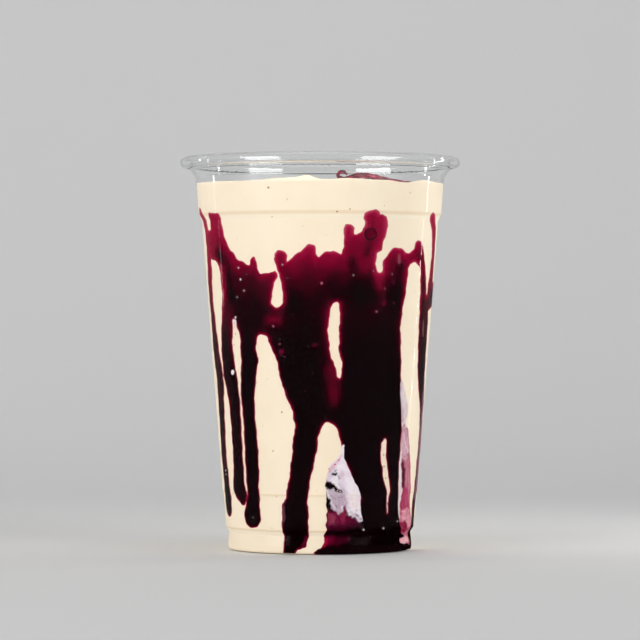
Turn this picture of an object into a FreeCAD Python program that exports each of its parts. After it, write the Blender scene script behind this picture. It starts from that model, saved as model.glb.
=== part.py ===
"""Milkshake with berry sauce in a clear, open cold-drink cup.

Millimetres, +Z up. The origin is the middle of the ring that the cup stands on,
and -Y is the front, the side where the sauce shows best. The cup is one formed
sheet with a rolled rim. The milkshake fills it to just under the rim, and the
berry sauce lies between the milkshake and the wall: runs that start under the
fill line, join into one curtain and end on the wall or in a pool on the floor.
At the lower right two patches of cream that the sauce has stained lie in it.
"""
import FreeCAD, Part
import math
import os
from dataclasses import dataclass

from FreeCAD import Vector

# Cup: overall sizes
HEIGHT = 137.0              # table to the top of the rim
RIM_DIAMETER = 98.0         # over the rolled rim
BASE_DIAMETER = 64.7        # over the widest part of the foot
WALL = 0.4                  # formed sheet

# Cup: rolled rim and the band below it, heights measured down from the top
ROLL_DIAMETER = 3.8         # over the roll
ROLL_WRAP = 285.0           # degrees of roll, from the drink side over and under
FLARE_DROP = 7.0            # where the wall turns out towards the roll
BAND_DROP = 20.0            # upper end of the stacking ledge
LEDGE_DROP = 22.2           # lower end of the stacking ledge
RIM_OVERHANG = 5.4          # roll beyond the top of the band
BAND_FLARE = 0.95           # the band widens by this towards the rim
LEDGE_STEP = 1.05           # the stacking ledge steps out by this

# Cup: foot, heights measured up from the table
FOOT_BULGE_HEIGHT = 3.0     # widest part of the foot
FOOT_NECK_HEIGHT = 6.4      # undercut above it
FOOT_NECK_DEPTH = 0.35
FOOT_SHELF_HEIGHT = 8.2     # small shelf above the undercut
FOOT_SHELF_STEP = 1.15
BEAD_LINE_HEIGHT = 19.4     # fine step that runs round the lower wall
BEAD_LINE_RISE = 1.0
BEAD_LINE_STEP = 0.28
FOOT_RING_WIDTH = 5.0       # channel inside the foot, which rests on the table
PUSH_UP = 3.0               # the floor stands this far above the table
PUSH_UP_SLOPE = 1.2         # the channel's inner side leans by this

# Cup: radii of the bends, on the drink side
FOOT_BEND = 0.9
SHELF_BEND = 0.5
LEDGE_BEND = 0.6
FLARE_BEND = 1.3

# Milkshake
FILL_DROP = 9.1             # rim top down to the mean fill line
FOLD_GRID = 13              # points each way across the uneven top
# Soft folds of the top: place as azimuth from the front and share of the radius,
# then height and spread.
FOLDS = (
    (-5.5, 0.97, 1.2, 9.0),
    (-24.0, 0.80, 0.7, 11.0),
    (42.0, 0.95, -0.9, 12.0),
    (100.0, 0.45, 1.0, 11.0),
    (170.0, 0.60, -0.8, 12.0),
    (215.0, 0.35, 0.9, 10.0),
    (265.0, 0.75, -0.6, 12.0),
)

# Berry sauce on the wall
FILM = 1.5                  # sauce between the milkshake and the wall
CUT_START = 0.55            # share of the foot's radius where the cut of a run begins


@dataclass(frozen=True)
class Run:
    """One run of sauce, or one gap in the sauce, between two places on the wall.

    A place is (azimuth from the front in degrees, height). A height is above the
    table, or below the fill line where it is negative, and a foot at 0 runs on to
    the floor. The spans are half widths in degrees at the head, waist and foot.
    """

    head: tuple
    foot: tuple
    spans: tuple


RUNS = {
    "left_edge": Run((-72.5, -14.5), (-71.5, 12.0), (6.2, 4.6, 7.4)),
    "left_edge_tip": Run((-79.5, -8.5), (-72.0, -24.0), (2.4, 3.4, 3.0)),
    "left_head": Run((-61.0, -10.0), (-55.0, -34.0), (6.8, 6.6, 4.0)),
    "left": Run((-55.0, -22.0), (-53.5, 17.0), (6.0, 5.4, 6.2)),
    "left_inner": Run((-41.0, -26.0), (-44.5, 9.0), (6.5, 4.4, 7.2)),
    "left_finger": Run((-34.5, -25.4), (-34.5, -38.0), (2.0, 3.0, 3.0)),
    "curtain_outer": Run((-47.0, -25.5), (-49.0, -49.0), (6.0, 7.0, 4.0)),
    "curtain_inner": Run((-31.0, -30.4), (-29.0, -52.6), (8.0, 10.0, 7.0)),
    "middle_finger": Run((-19.0, -23.0), (-12.5, 46.0), (3.2, 8.0, 4.0)),
    "middle_peak": Run((-5.0, -21.8), (2.0, 46.0), (4.4, 14.0, 5.0)),
    "middle_bump": Run((4.5, -24.6), (6.0, -60.0), (4.6, 8.0, 4.0)),
    "middle_left": Run((-1.0, -46.0), (-15.5, 0.0), (9.0, 6.6, 7.6)),
    "inner_finger": Run((13.6, -14.6), (15.0, 46.0), (3.2, 11.0, 5.0)),
    "tall_head": Run((24.6, -9.6), (22.0, -45.0), (4.6, 4.8, 5.0)),
    "tall_shoulder": Run((31.0, -11.6), (25.5, -32.0), (2.8, 3.2, 3.2)),
    "middle_right": Run((28.0, -32.0), (39.5, 0.0), (12.0, 18.0, 12.0)),
    "right_hump": Run((40.0, -22.4), (38.0, 50.0), (6.0, 8.4, 8.0)),
    "right_arch": Run((44.0, -23.6), (66.0, -25.8), (4.6, 4.8, 4.0)),
    "right": Run((63.0, -23.0), (78.0, 0.0), (4.5, 6.2, 2.6)),
    "right_edge": Run((69.5, -10.0), (73.0, -52.0), (3.6, 4.6, 4.6)),
}
GAPS = {
    "small_gap": Run((-21.0, -33.6), (-22.6, -44.4), (2.4, 3.2, 3.2)),
    "centre_gap": Run((7.2, -41.6), (10.6, -67.4), (2.6, 3.3, 1.0)),
    "right_gap": Run((37.4, 40.0), (44.4, 15.0), (1.6, 1.8, 0.7)),
}

# Cream that the sauce has stained, where it lies against the wall
STAINS = {
    "froth_lump": Run((9.5, 35.2), (15.0, 9.4), (2.6, 9.2, 7.6)),
    "rose_smear": Run((51.0, 57.0), (61.0, 3.0), (2.0, 4.6, 6.4)),
}

# Berry sauce pool on the floor, under the right-hand runs
POOL_AZIMUTH = 33.0
POOL_OFFSET = 19.0          # axis of the cup to the middle of the pool
POOL_RADIUS = 20.0
POOL_DEPTH = 9.0

# Drizzle that lies along the wall on top of the milkshake
DRIZZLE_THICKNESS = 4.0
DRIZZLE_AZIMUTHS = (9.0, 28.0)
DRIZZLE_CLEARANCE = 0.3     # to the wall
DRIZZLE_RISE = 2.0          # stands this far above the milkshake

AXIS = Vector(0, 0, 1)
ORIGIN = Vector(0, 0, 0)


def at(radius, z):
    """Return a point of the cup's profile, in the XZ plane."""
    return Vector(radius, 0, z)


def around(azimuth, radius, z=0.0):
    """Return the point at an azimuth from the front, counted towards +X."""
    angle = math.radians(azimuth)
    return Vector(radius * math.sin(angle), -radius * math.cos(angle), z)


def rounded_path(corners):
    """Return the edges of an open path whose corners are (point, bend radius)."""
    edges = []
    start = corners[0][0]
    for (point, bend), (after, _) in zip(corners[1:-1], corners[2:]):
        back = (start - point).normalize()
        ahead = (after - point).normalize()
        half_turn = (math.pi - back.getAngle(ahead)) / 2
        reach = bend * math.tan(half_turn)
        into, out = point + back * reach, point + ahead * reach
        inward = (back + ahead).normalize()
        middle = point + inward * (bend / math.cos(half_turn) - bend)
        edges.append(Part.LineSegment(start, into).toShape())
        edges.append(Part.Arc(into, middle, out).toShape())
        start = out
    edges.append(Part.LineSegment(start, corners[-1][0]).toShape())
    return edges


def wall_corners():
    """Return the drink side of the sheet, from the middle of the floor upwards."""
    foot = BASE_DIAMETER / 2 - WALL
    band_top = RIM_DIAMETER / 2 - RIM_OVERHANG - WALL
    band_bottom = band_top - BAND_FLARE
    body_top = band_bottom - LEDGE_STEP
    shelf = foot - FOOT_NECK_DEPTH + FOOT_SHELF_STEP
    slope = (body_top - shelf) / (HEIGHT - LEDGE_DROP - FOOT_SHELF_HEIGHT)
    bead_line = shelf + slope * (BEAD_LINE_HEIGHT - FOOT_SHELF_HEIGHT)
    channel = foot - FOOT_RING_WIDTH
    roll_side = RIM_DIAMETER / 2 - ROLL_DIAMETER
    flare_rise = roll_side - band_top
    return [
        (at(0, PUSH_UP + WALL), 0),
        (at(channel - PUSH_UP_SLOPE, PUSH_UP + WALL), FOOT_BEND),
        (at(channel, WALL), FOOT_BEND),
        (at(foot, WALL), FOOT_BEND),
        (at(foot, FOOT_BULGE_HEIGHT), SHELF_BEND),
        (at(foot - FOOT_NECK_DEPTH, FOOT_NECK_HEIGHT), SHELF_BEND),
        (at(shelf, FOOT_SHELF_HEIGHT), SHELF_BEND),
        (at(bead_line, BEAD_LINE_HEIGHT), SHELF_BEND),
        (at(bead_line + BEAD_LINE_STEP, BEAD_LINE_HEIGHT + BEAD_LINE_RISE), SHELF_BEND),
        (at(body_top, HEIGHT - LEDGE_DROP), LEDGE_BEND),
        (at(band_bottom, HEIGHT - BAND_DROP), LEDGE_BEND),
        (at(band_top, HEIGHT - FLARE_DROP), FLARE_BEND),
        (at(roll_side, HEIGHT - FLARE_DROP + 1.5 * flare_rise), FLARE_BEND),
        (at(roll_side, HEIGHT - ROLL_DIAMETER / 2), 0),
    ]


def make_cup():
    """Revolve the sheet: floor, foot, wall and the roll of the rim."""
    radius = ROLL_DIAMETER / 2
    centre = at(RIM_DIAMETER / 2 - radius, HEIGHT - radius)

    def on_roll(turned):
        angle = math.radians(180.0 - turned)
        return centre + at(radius * math.cos(angle), radius * math.sin(angle))

    roll = Part.Arc(on_roll(0), on_roll(ROLL_WRAP / 2), on_roll(ROLL_WRAP)).toShape()
    sheet = Part.Wire(rounded_path(wall_corners()) + [roll])
    section = sheet.makeOffset2D(-WALL, 0, True, True)
    return Part.Face(section.Wires[0]).revolve(ORIGIN, AXIS, 360)


def make_inside():
    """Return the whole space inside the sheet, up to the roll."""
    path = rounded_path(wall_corners())
    top, bottom = path[-1].Vertexes[-1].Point, path[0].Vertexes[0].Point
    lid = Part.LineSegment(top, at(0, top.z)).toShape()
    middle = Part.LineSegment(at(0, top.z), bottom).toShape()
    return Part.Face(Part.Wire(path + [lid, middle])).revolve(ORIGIN, AXIS, 360)


def fill_radius():
    """Return the inner radius of the cup at the fill line."""
    return RIM_DIAMETER / 2 - RIM_OVERHANG - WALL


def top_height(x, y):
    """Return the height of the milkshake's uneven top at a place."""
    height = HEIGHT - FILL_DROP
    for azimuth, share, rise, spread in FOLDS:
        fold = around(azimuth, share * fill_radius())
        distance = math.hypot(x - fold.x, y - fold.y)
        height += rise * math.exp(-(distance / spread) ** 2)
    return height


def make_fill(inside):
    """Return everything in the cup below the milkshake's uneven top."""
    reach = RIM_DIAMETER / 2
    step = 2 * reach / (FOLD_GRID - 1)
    places = [index * step - reach for index in range(FOLD_GRID)]
    surface = Part.BSplineSurface()
    surface.interpolate([[Vector(x, y, top_height(x, y)) for y in places] for x in places])
    below = surface.toShape().extrude(Vector(0, 0, -1.2 * HEIGHT))
    return inside.common(below)


def wall_radius(z):
    """Return the inner radius of the wall at a height, on its straight taper."""
    wall = wall_corners()
    foot, band_top = wall[4][0], wall[11][0]
    slope = (band_top.x - foot.x) / (band_top.z - foot.z)
    return foot.x + slope * (z - foot.z)


def prism_of(run):
    """Cut a run's outline, drawn in the plane that faces it, out to the wall."""
    facing = (run.head[0] + run.foot[0]) / 2
    plane = -CUT_START * BASE_DIAMETER / 2

    def place(azimuth, height):
        z = height if height >= 0 else HEIGHT - FILL_DROP + height
        return Vector(wall_radius(z) * math.sin(math.radians(azimuth - facing)), plane, z)

    def half_width(span, point):
        return wall_radius(point.z) * math.sin(math.radians(span))

    head, foot = place(*run.head), place(*run.foot)
    waist = (head + foot) / 2
    head_half, waist_half, foot_half = map(half_width, run.spans, (head, waist, foot))
    if run.foot[1] == 0:
        foot.z = -foot_half
    along = (foot - head).normalize()
    across = along.cross(Vector(0, 1, 0))
    head_middle, foot_middle = head + along * head_half, foot - along * foot_half
    head_near, head_far = (head_middle + across * side for side in (-head_half, head_half))
    foot_near, foot_far = (foot_middle + across * side for side in (-foot_half, foot_half))
    arcs = (
        Part.Arc(head_near, head, head_far),
        Part.Arc(head_far, waist + across * waist_half, foot_far),
        Part.Arc(foot_far, foot, foot_near),
        Part.Arc(foot_near, waist - across * waist_half, head_near),
    )
    outline = Part.Wire([arc.toShape() for arc in arcs])
    prism = Part.Face(outline).extrude(Vector(0, -RIM_DIAMETER / 2, 0))
    prism.rotate(ORIGIN, AXIS, facing)
    return prism


def make_film(inside):
    """Return the layer next to the wall and floor that sauce can take up."""
    bottom = PUSH_UP + WALL + FILM
    radii = (wall_radius(bottom) - FILM, wall_radius(HEIGHT) - FILM)
    return inside.cut(Part.makeCone(*radii, HEIGHT - bottom, at(0, bottom)))


def make_pool():
    """Return the low dome of sauce on the floor."""
    curvature = (POOL_RADIUS ** 2 + POOL_DEPTH ** 2) / (2 * POOL_DEPTH)
    crown = PUSH_UP + WALL + POOL_DEPTH
    return Part.makeSphere(curvature, around(POOL_AZIMUTH, POOL_OFFSET, crown - curvature))


def largest(shape):
    """Return a shape's main solid, without crumbs that the sauce seals off."""
    return max(shape.Solids, key=lambda solid: solid.Volume)


def make_stains(film):
    """Return each patch of stained cream, as thick as the sauce beside it."""
    return {name: prism_of(run).common(film) for name, run in STAINS.items()}


def make_sauce(film, inside, stains):
    """Join the runs into one curtain, add the pool and make room for the stains."""
    first, *others = [prism_of(run).common(film) for run in RUNS.values()]
    curtain = first.multiFuse(others)
    for gap in GAPS.values():
        curtain = curtain.cut(prism_of(gap))
    sauce = curtain.fuse(make_pool().common(inside))
    for stain in stains:
        sauce = sauce.cut(stain)
    return sauce.removeSplitter()


def make_drizzle():
    """Return the rounded rope of sauce that lies along the wall on top."""
    radius = DRIZZLE_THICKNESS / 2
    path_radius = fill_radius() - DRIZZLE_CLEARANCE - radius
    start, end = DRIZZLE_AZIMUTHS
    first, middle, last = (around(azimuth, path_radius) for azimuth in (start, (start + end) / 2, end))
    crown = top_height(middle.x, middle.y) + DRIZZLE_RISE
    rope = Part.Wire(Part.Arc(first, middle, last).toShape())
    section = Part.Wire(Part.makeCircle(radius, first, first.cross(AXIS)))
    drizzle = rope.makePipeShell([section], True, False)
    for end_point in (first, last):
        drizzle = drizzle.fuse(Part.makeSphere(radius, end_point))
    drizzle.translate(Vector(0, 0, crown - radius))
    return drizzle


def main():
    """Build each piece and write it as its own node."""
    inside = make_inside()
    fill = make_fill(inside)
    film = make_film(inside).common(fill)
    stains = make_stains(film)
    sauce = make_sauce(film, inside, stains.values())
    drizzle = make_drizzle()
    milkshake = fill
    for piece in (sauce, drizzle, *stains.values()):
        milkshake = milkshake.cut(piece)
    nodes = {
        "cup": make_cup(),
        "milkshake": largest(milkshake),
        "berry_sauce": largest(sauce),
        "top_drizzle": drizzle,
        **stains,
    }
    os.makedirs("parts", exist_ok=True)
    for name, shape in nodes.items():
        shape.exportStep(f"parts/{name}.step")
        box = shape.BoundBox
        print(
            f"{name}: {len(shape.Solids)} solid, {len(shape.Faces)} faces, valid {shape.isValid()}, "
            f"{shape.Volume / 1000:.2f} ml, z {box.ZMin:.2f} to {box.ZMax:.2f}"
        )


main()
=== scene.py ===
"""The looks of a milkshake with berry sauce in a clear, open cold-drink cup.

Sizes of the pieces are in millimetres and are turned into metres as each mesh is
finished. A place on the wall is an azimuth from the front, counted towards +X in
degrees, and a height above the table.
"""
import logging
import math
from dataclasses import astuple, dataclass, field
from enum import Enum
from functools import cached_property
from typing import Any, Callable, Sequence

import bmesh
import bpy
import numpy as np
from mathutils import Matrix, Vector


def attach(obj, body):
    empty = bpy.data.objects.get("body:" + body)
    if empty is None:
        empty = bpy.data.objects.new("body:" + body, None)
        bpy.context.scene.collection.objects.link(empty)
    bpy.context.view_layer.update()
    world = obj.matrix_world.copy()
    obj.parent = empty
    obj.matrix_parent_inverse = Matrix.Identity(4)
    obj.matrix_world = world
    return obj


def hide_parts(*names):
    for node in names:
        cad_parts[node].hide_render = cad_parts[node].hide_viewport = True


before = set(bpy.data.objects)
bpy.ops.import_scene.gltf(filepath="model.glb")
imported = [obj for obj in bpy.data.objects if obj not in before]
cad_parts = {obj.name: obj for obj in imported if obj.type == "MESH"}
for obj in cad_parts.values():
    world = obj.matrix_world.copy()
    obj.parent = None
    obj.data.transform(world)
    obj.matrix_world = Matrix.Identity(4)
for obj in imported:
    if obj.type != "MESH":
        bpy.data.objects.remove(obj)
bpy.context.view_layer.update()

LOG = logging.getLogger("milkshake")
MM = 0.001                      # metres in a millimetre
ARC = 0.66                      # millimetres along the wall in one degree
BODY = "root"
TURN_STEPS = 240                # steps in a full turn round the cup
BACK = (92.0, 268.0)            # azimuths of the back and the far sides
WHITE = (1.0, 1.0, 1.0)
ORIGIN = Vector((0.0, 0.0, 0.0))
UP = Vector((0.0, 0.0, 1.0))
SKEW = Vector((1.0, 0.6180, 2.7183))    # a direction along which no two parts tie

Colour = tuple[float, float, float]
Place = tuple[float, float]
Mark = tuple[float, float, float]
Span = tuple[float, float, float, float]


class Slot(Enum):
    """The record's material slots."""

    PLASTIC = "clear_plastic"
    CREAM = "milkshake"
    BERRY = "berry_sauce"


def smooth(low: float, high: float, value: Any) -> Any:
    """Return 0 below low, 1 above high and an even rise between them."""
    share = np.clip((value - low) / (high - low), 0.0, 1.0)
    return share * share * (3.0 - 2.0 * share)


def eased(rows: np.ndarray, steps: int) -> np.ndarray:
    """Return rows with smooth ones set between them.

    Args:
        rows: at least two rows of numbers, such as the marks of a stroke.
        steps: how many rows each one but the last becomes.
    """
    ends = np.vstack((2 * rows[0] - rows[1], rows, 2 * rows[-1] - rows[-2]))
    out = []
    for a, b, c, d in zip(ends, ends[1:], ends[2:], ends[3:]):
        for t in np.arange(steps) / steps:
            bend = (2 * a - 5 * b + 4 * c - d) * t * t + (3 * b - a - 3 * c + d) * t ** 3
            out.append(0.5 * (2 * b + (c - a) * t + bend))
    return np.array(out + [rows[-1]])


def around(azimuth: float, radius: float, height: float) -> Vector:
    """Return the point at an azimuth from the front, a radius and a height."""
    angle = math.radians(azimuth)
    return Vector((radius * math.sin(angle), -radius * math.cos(angle), height))


# --------------------------------------------------------------------------- meshes


def finish_mesh(bm: bmesh.types.BMesh, name: str, crease: float = 60.0) -> bpy.types.Object:
    """Turn a mesh drawn in millimetres into a smooth object in metres.

    Args:
        bm: the finished mesh, which is freed.
        name: the piece's name.
        crease: edges that turn more sharply than this many degrees stay sharp.

    Returns:
        The piece, which rides on the model's one body.
    """
    bmesh.ops.scale(bm, verts=bm.verts, vec=(MM, MM, MM))
    mesh = bpy.data.meshes.new(name)
    bm.to_mesh(mesh)
    bm.free()
    mesh.shade_smooth()
    mesh.set_sharp_from_angle(angle=math.radians(crease))
    piece = bpy.data.objects.new(name, mesh)
    bpy.context.scene.collection.objects.link(piece)
    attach(piece, BODY)
    LOG.info("%s: %d faces", name, len(mesh.polygons))
    return piece


def put_in_order(bm: bmesh.types.BMesh) -> None:
    """Order a mesh's parts by where they are, so that every run goes on alike."""
    bm.verts.sort(key=lambda vert: vert.co.dot(SKEW))
    bm.edges.sort(key=lambda edge: (edge.verts[0].co + edge.verts[1].co).dot(SKEW))
    bm.faces.sort(key=lambda face: face.calc_center_median().dot(SKEW))
    for parts in (bm.verts, bm.edges, bm.faces):
        parts.index_update()


def spun(profile: Sequence[Place]) -> bmesh.types.BMesh:
    """Spin an open profile once round the cup's axis.

    Args:
        profile: the (radius, height) points in order.

    Returns:
        The spun mesh, with its join and poles merged and its faces outwards.
    """
    bm = bmesh.new()
    verts = [bm.verts.new((radius, 0.0, height)) for radius, height in profile]
    edges = [bm.edges.new(pair) for pair in zip(verts, verts[1:])]
    bmesh.ops.spin(
        bm, geom=verts + edges, cent=ORIGIN, axis=UP, dvec=ORIGIN,
        angle=math.tau, steps=TURN_STEPS, use_merge=True, use_duplicate=False,
    )
    bmesh.ops.remove_doubles(bm, verts=bm.verts, dist=0.01)
    bmesh.ops.recalc_face_normals(bm, faces=bm.faces)
    put_in_order(bm)
    return bm


def trim(bm: bmesh.types.BMesh, layer: Any, merge: float) -> None:
    """Cut a sheet along the line where a vertex value is nought, and drop the rest.

    Args:
        bm: the sheet.
        layer: the float layer, negative in what stays.
        merge: vertices nearer than this become one afterwards.
    """
    spare = [f for f in bm.faces if min(v[layer] for v in f.verts) > 0.0]
    bmesh.ops.delete(bm, geom=spare, context="FACES")
    on_line = [v for v in bm.verts if abs(v[layer]) < 0.02]
    for vert in on_line:
        vert[layer] = 0.0
    crossing = [e for e in bm.edges if e.verts[0][layer] * e.verts[1][layer] < 0.0]
    for edge in crossing:
        first, second = edge.verts
        share = first[layer] / (first[layer] - second[layer])
        vert = bmesh.utils.edge_split(edge, first, share)[1]
        vert[layer] = 0.0
        on_line.append(vert)
    bmesh.ops.connect_verts(bm, verts=on_line)
    spare = [f for f in bm.faces if sum(v[layer] for v in f.verts) >= 0.0]
    bmesh.ops.delete(bm, geom=spare, context="FACES")
    bmesh.ops.remove_doubles(bm, verts=bm.verts, dist=merge)
    bmesh.ops.dissolve_degenerate(bm, edges=bm.edges, dist=merge / 4)


# --------------------------------------------------------------------------- the cup's section


@dataclass(frozen=True)
class CupSection:
    """The formed sheet's section, on the side that touches the drink."""

    wall: float = 0.4
    push_up: float = 3.0
    channel: float = 26.95
    foot: float = 31.95
    neck: Place = (31.6, 6.4)
    shelf: Place = (32.75, 8.2)
    bead: Place = (33.64, 19.4)
    bead_top: Place = (33.92, 20.4)
    ledge: Place = (41.2, 114.8)
    band: Place = (42.25, 117.0)
    band_top: Place = (43.2, 130.0)
    flare: Place = (45.2, 133.0)
    roll_radius: float = 1.9
    roll_height: float = 135.1
    roll_wrap: float = 285.0
    roll_steps: int = 30
    bend_steps: int = 5

    def corners(self) -> list[tuple[float, float, float]]:
        """Return each corner's radius, height and bend, from the axis upwards."""
        floor = self.push_up + self.wall
        return [
            (0.0, floor, 0.0),
            (self.channel - 1.2, floor, 0.9),
            (self.channel, self.wall, 0.9),
            (self.foot, self.wall, 0.9),
            (self.foot, 3.0, 0.5),
            (*self.neck, 0.5),
            (*self.shelf, 0.5),
            (*self.bead, 0.5),
            (*self.bead_top, 0.5),
            (*self.ledge, 0.6),
            (*self.band, 0.6),
            (*self.band_top, 1.3),
            (*self.flare, 1.3),
            (self.flare[0], self.roll_height, 0.0),
        ]

    def side(self) -> np.ndarray:
        """Return the drink side up to the roll, with every corner bent round."""
        corners = self.corners()
        path = [np.array(corners[0][:2])]
        for before, (radius, height, bend), after in zip(corners, corners[1:], corners[2:]):
            point = np.array((radius, height))
            back = np.array(before[:2]) - point
            ahead = np.array(after[:2]) - point
            back, ahead = back / np.linalg.norm(back), ahead / np.linalg.norm(ahead)
            half_turn = (math.pi - math.acos(float(back @ ahead))) / 2
            reach = bend * math.tan(half_turn)
            inward = (back + ahead) / np.linalg.norm(back + ahead)
            centre = point + inward * bend / math.cos(half_turn)
            for step in range(self.bend_steps + 1):
                share = step / self.bend_steps
                chord = point + (back * (1 - share) + ahead * share) * reach
                spoke = chord - centre
                path.append(centre + spoke / np.linalg.norm(spoke) * bend)
        path.append(np.array(corners[-1][:2]))
        return np.array(path)

    def whole(self) -> np.ndarray:
        """Return the drink side with the roll of the rim."""
        centre = np.array((self.flare[0] + self.roll_radius, self.roll_height))
        turned = np.radians(180.0 - np.linspace(0.0, self.roll_wrap, self.roll_steps + 1)[1:])
        roll = centre + self.roll_radius * np.stack((np.cos(turned), np.sin(turned)), 1)
        return np.vstack((self.side(), roll))

    @staticmethod
    def offset(path: np.ndarray, distance: float) -> np.ndarray:
        """Return a path moved away from the drink by a distance."""
        run = np.diff(path, axis=0)
        run /= np.linalg.norm(run, axis=1)[:, None]
        normal = np.stack((run[:, 1], -run[:, 0]), 1)
        before, after = np.vstack((normal[:1], normal)), np.vstack((normal, normal[-1:]))
        mitre = (before + after) / (1.0 + (before * after).sum(1))[:, None]
        moved = path + mitre * distance
        moved[path[:, 0] == 0.0, 0] = 0.0
        return moved

    @cached_property
    def upright(self) -> np.ndarray:
        """The part of the drink side that rises from the foot to the roll."""
        side = self.side()
        return side[np.argmax(side[:, 0] > self.foot - 0.3):]

    def radius(self, height: Any) -> Any:
        """Return the inner radius of the wall at a height, or at many."""
        return np.interp(height, self.upright[:, 1], self.upright[:, 0])


# --------------------------------------------------------------------------- shader kit


def operator(operation: str, swapped: bool = False) -> Callable[["Value", Any], "Value"]:
    """Return a Value's arithmetic method.

    Args:
        operation: what its Math node does.
        swapped: whether the Value is the second operand.
    """
    def run(value: "Value", other: Any) -> "Value":
        """Add the Math node and return its result."""
        first, second = (other, value) if swapped else (value, other)
        return value.kit.add("ShaderNodeMath", {"operation": operation}, {0: first, 1: second})

    return run


class Value:
    """A number or a vector that runs through a material, written as an expression."""

    def __init__(self, kit: "Kit", socket: bpy.types.NodeSocket) -> None:
        self.kit = kit
        self.socket = socket

    __add__, __radd__ = operator("ADD"), operator("ADD", swapped=True)
    __sub__, __rsub__ = operator("SUBTRACT"), operator("SUBTRACT", swapped=True)
    __mul__, __rmul__ = operator("MULTIPLY"), operator("MULTIPLY", swapped=True)

    def above(self, low: float, high: float) -> "Value":
        """Return 0 below low, 1 above high and a smooth rise between them."""
        return self.kit.add(
            "ShaderNodeMapRange",
            {"interpolation_type": "SMOOTHSTEP"},
            {"Value": self, "From Min": low, "From Max": high, "To Min": 0.0, "To Max": 1.0},
        )


class Kit:
    """Builds one material's nodes."""

    def __init__(self, name: str) -> None:
        """Start an empty material with its output and object coordinates."""
        self.material = bpy.data.materials.new(name)
        self.material.use_nodes = True
        self.tree = self.material.node_tree
        self.tree.nodes.clear()
        self.output = self.tree.nodes.new("ShaderNodeOutputMaterial")
        coordinates = self.tree.nodes.new("ShaderNodeTexCoord")
        self.place = Value(self, coordinates.outputs["Object"])

    def add(
        self, kind: str, settings: dict[str, Any], inputs: dict[Any, Any], result: Any = 0
    ) -> Value:
        """Add a node.

        Args:
            kind: the node's type.
            settings: its properties, set before its sockets.
            inputs: socket names or numbers, each with a value or a Value to link.
            result: the output's name or number.

        Returns:
            The chosen output.
        """
        node = self.tree.nodes.new(kind)
        for key, setting in settings.items():
            setattr(node, key, setting)
        for key, value in inputs.items():
            socket = node.inputs[key]
            if isinstance(value, Value):
                self.tree.links.new(value.socket, socket)
            elif isinstance(value, tuple) and len(value) == 3 and socket.type == "RGBA":
                socket.default_value = (*value, 1.0)
            else:
                socket.default_value = value
        return Value(self, node.outputs[result])

    def noise(self, scale: float, detail: float = 3.0, place: Value | None = None) -> Value:
        """Return a soft noise from 0 to 1 with a scale in cells for each metre."""
        where = place or self.place
        return self.add(
            "ShaderNodeTexNoise",
            {},
            {"Vector": where, "Scale": scale, "Detail": detail, "Roughness": 0.55},
        )

    def stretched(self, scale: Colour) -> Value:
        """Return the object coordinates stretched along each axis."""
        return self.add("ShaderNodeVectorMath", {"operation": "MULTIPLY"}, {0: self.place, 1: scale})

    def pick(self, name: str, result: str) -> Value:
        """Return a value that the mesh carries at its vertices."""
        return self.add("ShaderNodeAttribute", {"attribute_name": name}, {}, result)

    def height(self) -> Value:
        """Return the height above the table in metres."""
        return self.add("ShaderNodeSeparateXYZ", {}, {0: self.place}, 2)

    def zones(self, height: Value, spans: Sequence[Span]) -> Value:
        """Return 1 within some spans of height and 0 outside them.

        Args:
            height: the height in the spans' unit.
            spans: where each starts to rise, is whole, starts to fall and has ended.
        """
        parts = [height.above(*span[:2]) - height.above(*span[2:]) for span in spans]
        return sum(parts[1:], parts[0])

    def mix(self, share: Any, first: Any, second: Any, blend: str = "MIX") -> Value:
        """Return a mix of two colours."""
        return self.add(
            "ShaderNodeMix",
            {"data_type": "RGBA", "blend_type": blend},
            {0: share, 6: first, 7: second},
            2,
        )

    def ramp(self, value: Value, stops: Sequence[tuple[float, Colour]]) -> Value:
        """Return the colour that a value has on a ramp of (position, colour) stops."""
        made = self.add("ShaderNodeValToRGB", {}, {0: value})
        ramp = made.socket.node.color_ramp
        while len(ramp.elements) < len(stops):
            ramp.elements.new(1.0)
        for element, (position, colour) in zip(ramp.elements, stops):
            element.position = position
            element.color = (*colour, 1.0)
        return made

    def bump(self, height: Value, distance: float, strength: float = 1.0) -> Value:
        """Return a normal roughened by a height that runs from 0 to 1."""
        return self.add(
            "ShaderNodeBump", {}, {"Height": height, "Distance": distance, "Strength": strength}
        )

    def surface(self, inputs: dict[str, Any]) -> Value:
        """Return the material's one Principled shader."""
        return self.add("ShaderNodeBsdfPrincipled", {}, inputs)

    def wear(self, shader: Value, piece: bpy.types.Object) -> None:
        """Join the shader to the output and give the material to a piece."""
        self.tree.links.new(shader.socket, self.output.inputs["Surface"])
        piece.data.materials.clear()
        piece.data.materials.append(self.material)

    def coat(
        self, piece: bpy.types.Object, tone: Value, roughness: Value, specular: float, normal: Value
    ) -> None:
        """Give a piece an opaque surface.

        Args:
            piece: what wears it.
            tone: its colour.
            roughness: how dull it is.
            specular: how much it mirrors, where 0.5 is usual.
            normal: its fine relief.
        """
        inputs = {
            "Base Color": tone, "Roughness": roughness, "Specular IOR Level": specular, "Normal": normal,
        }
        self.wear(self.surface(inputs), piece)


# --------------------------------------------------------------------------- finishes


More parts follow.
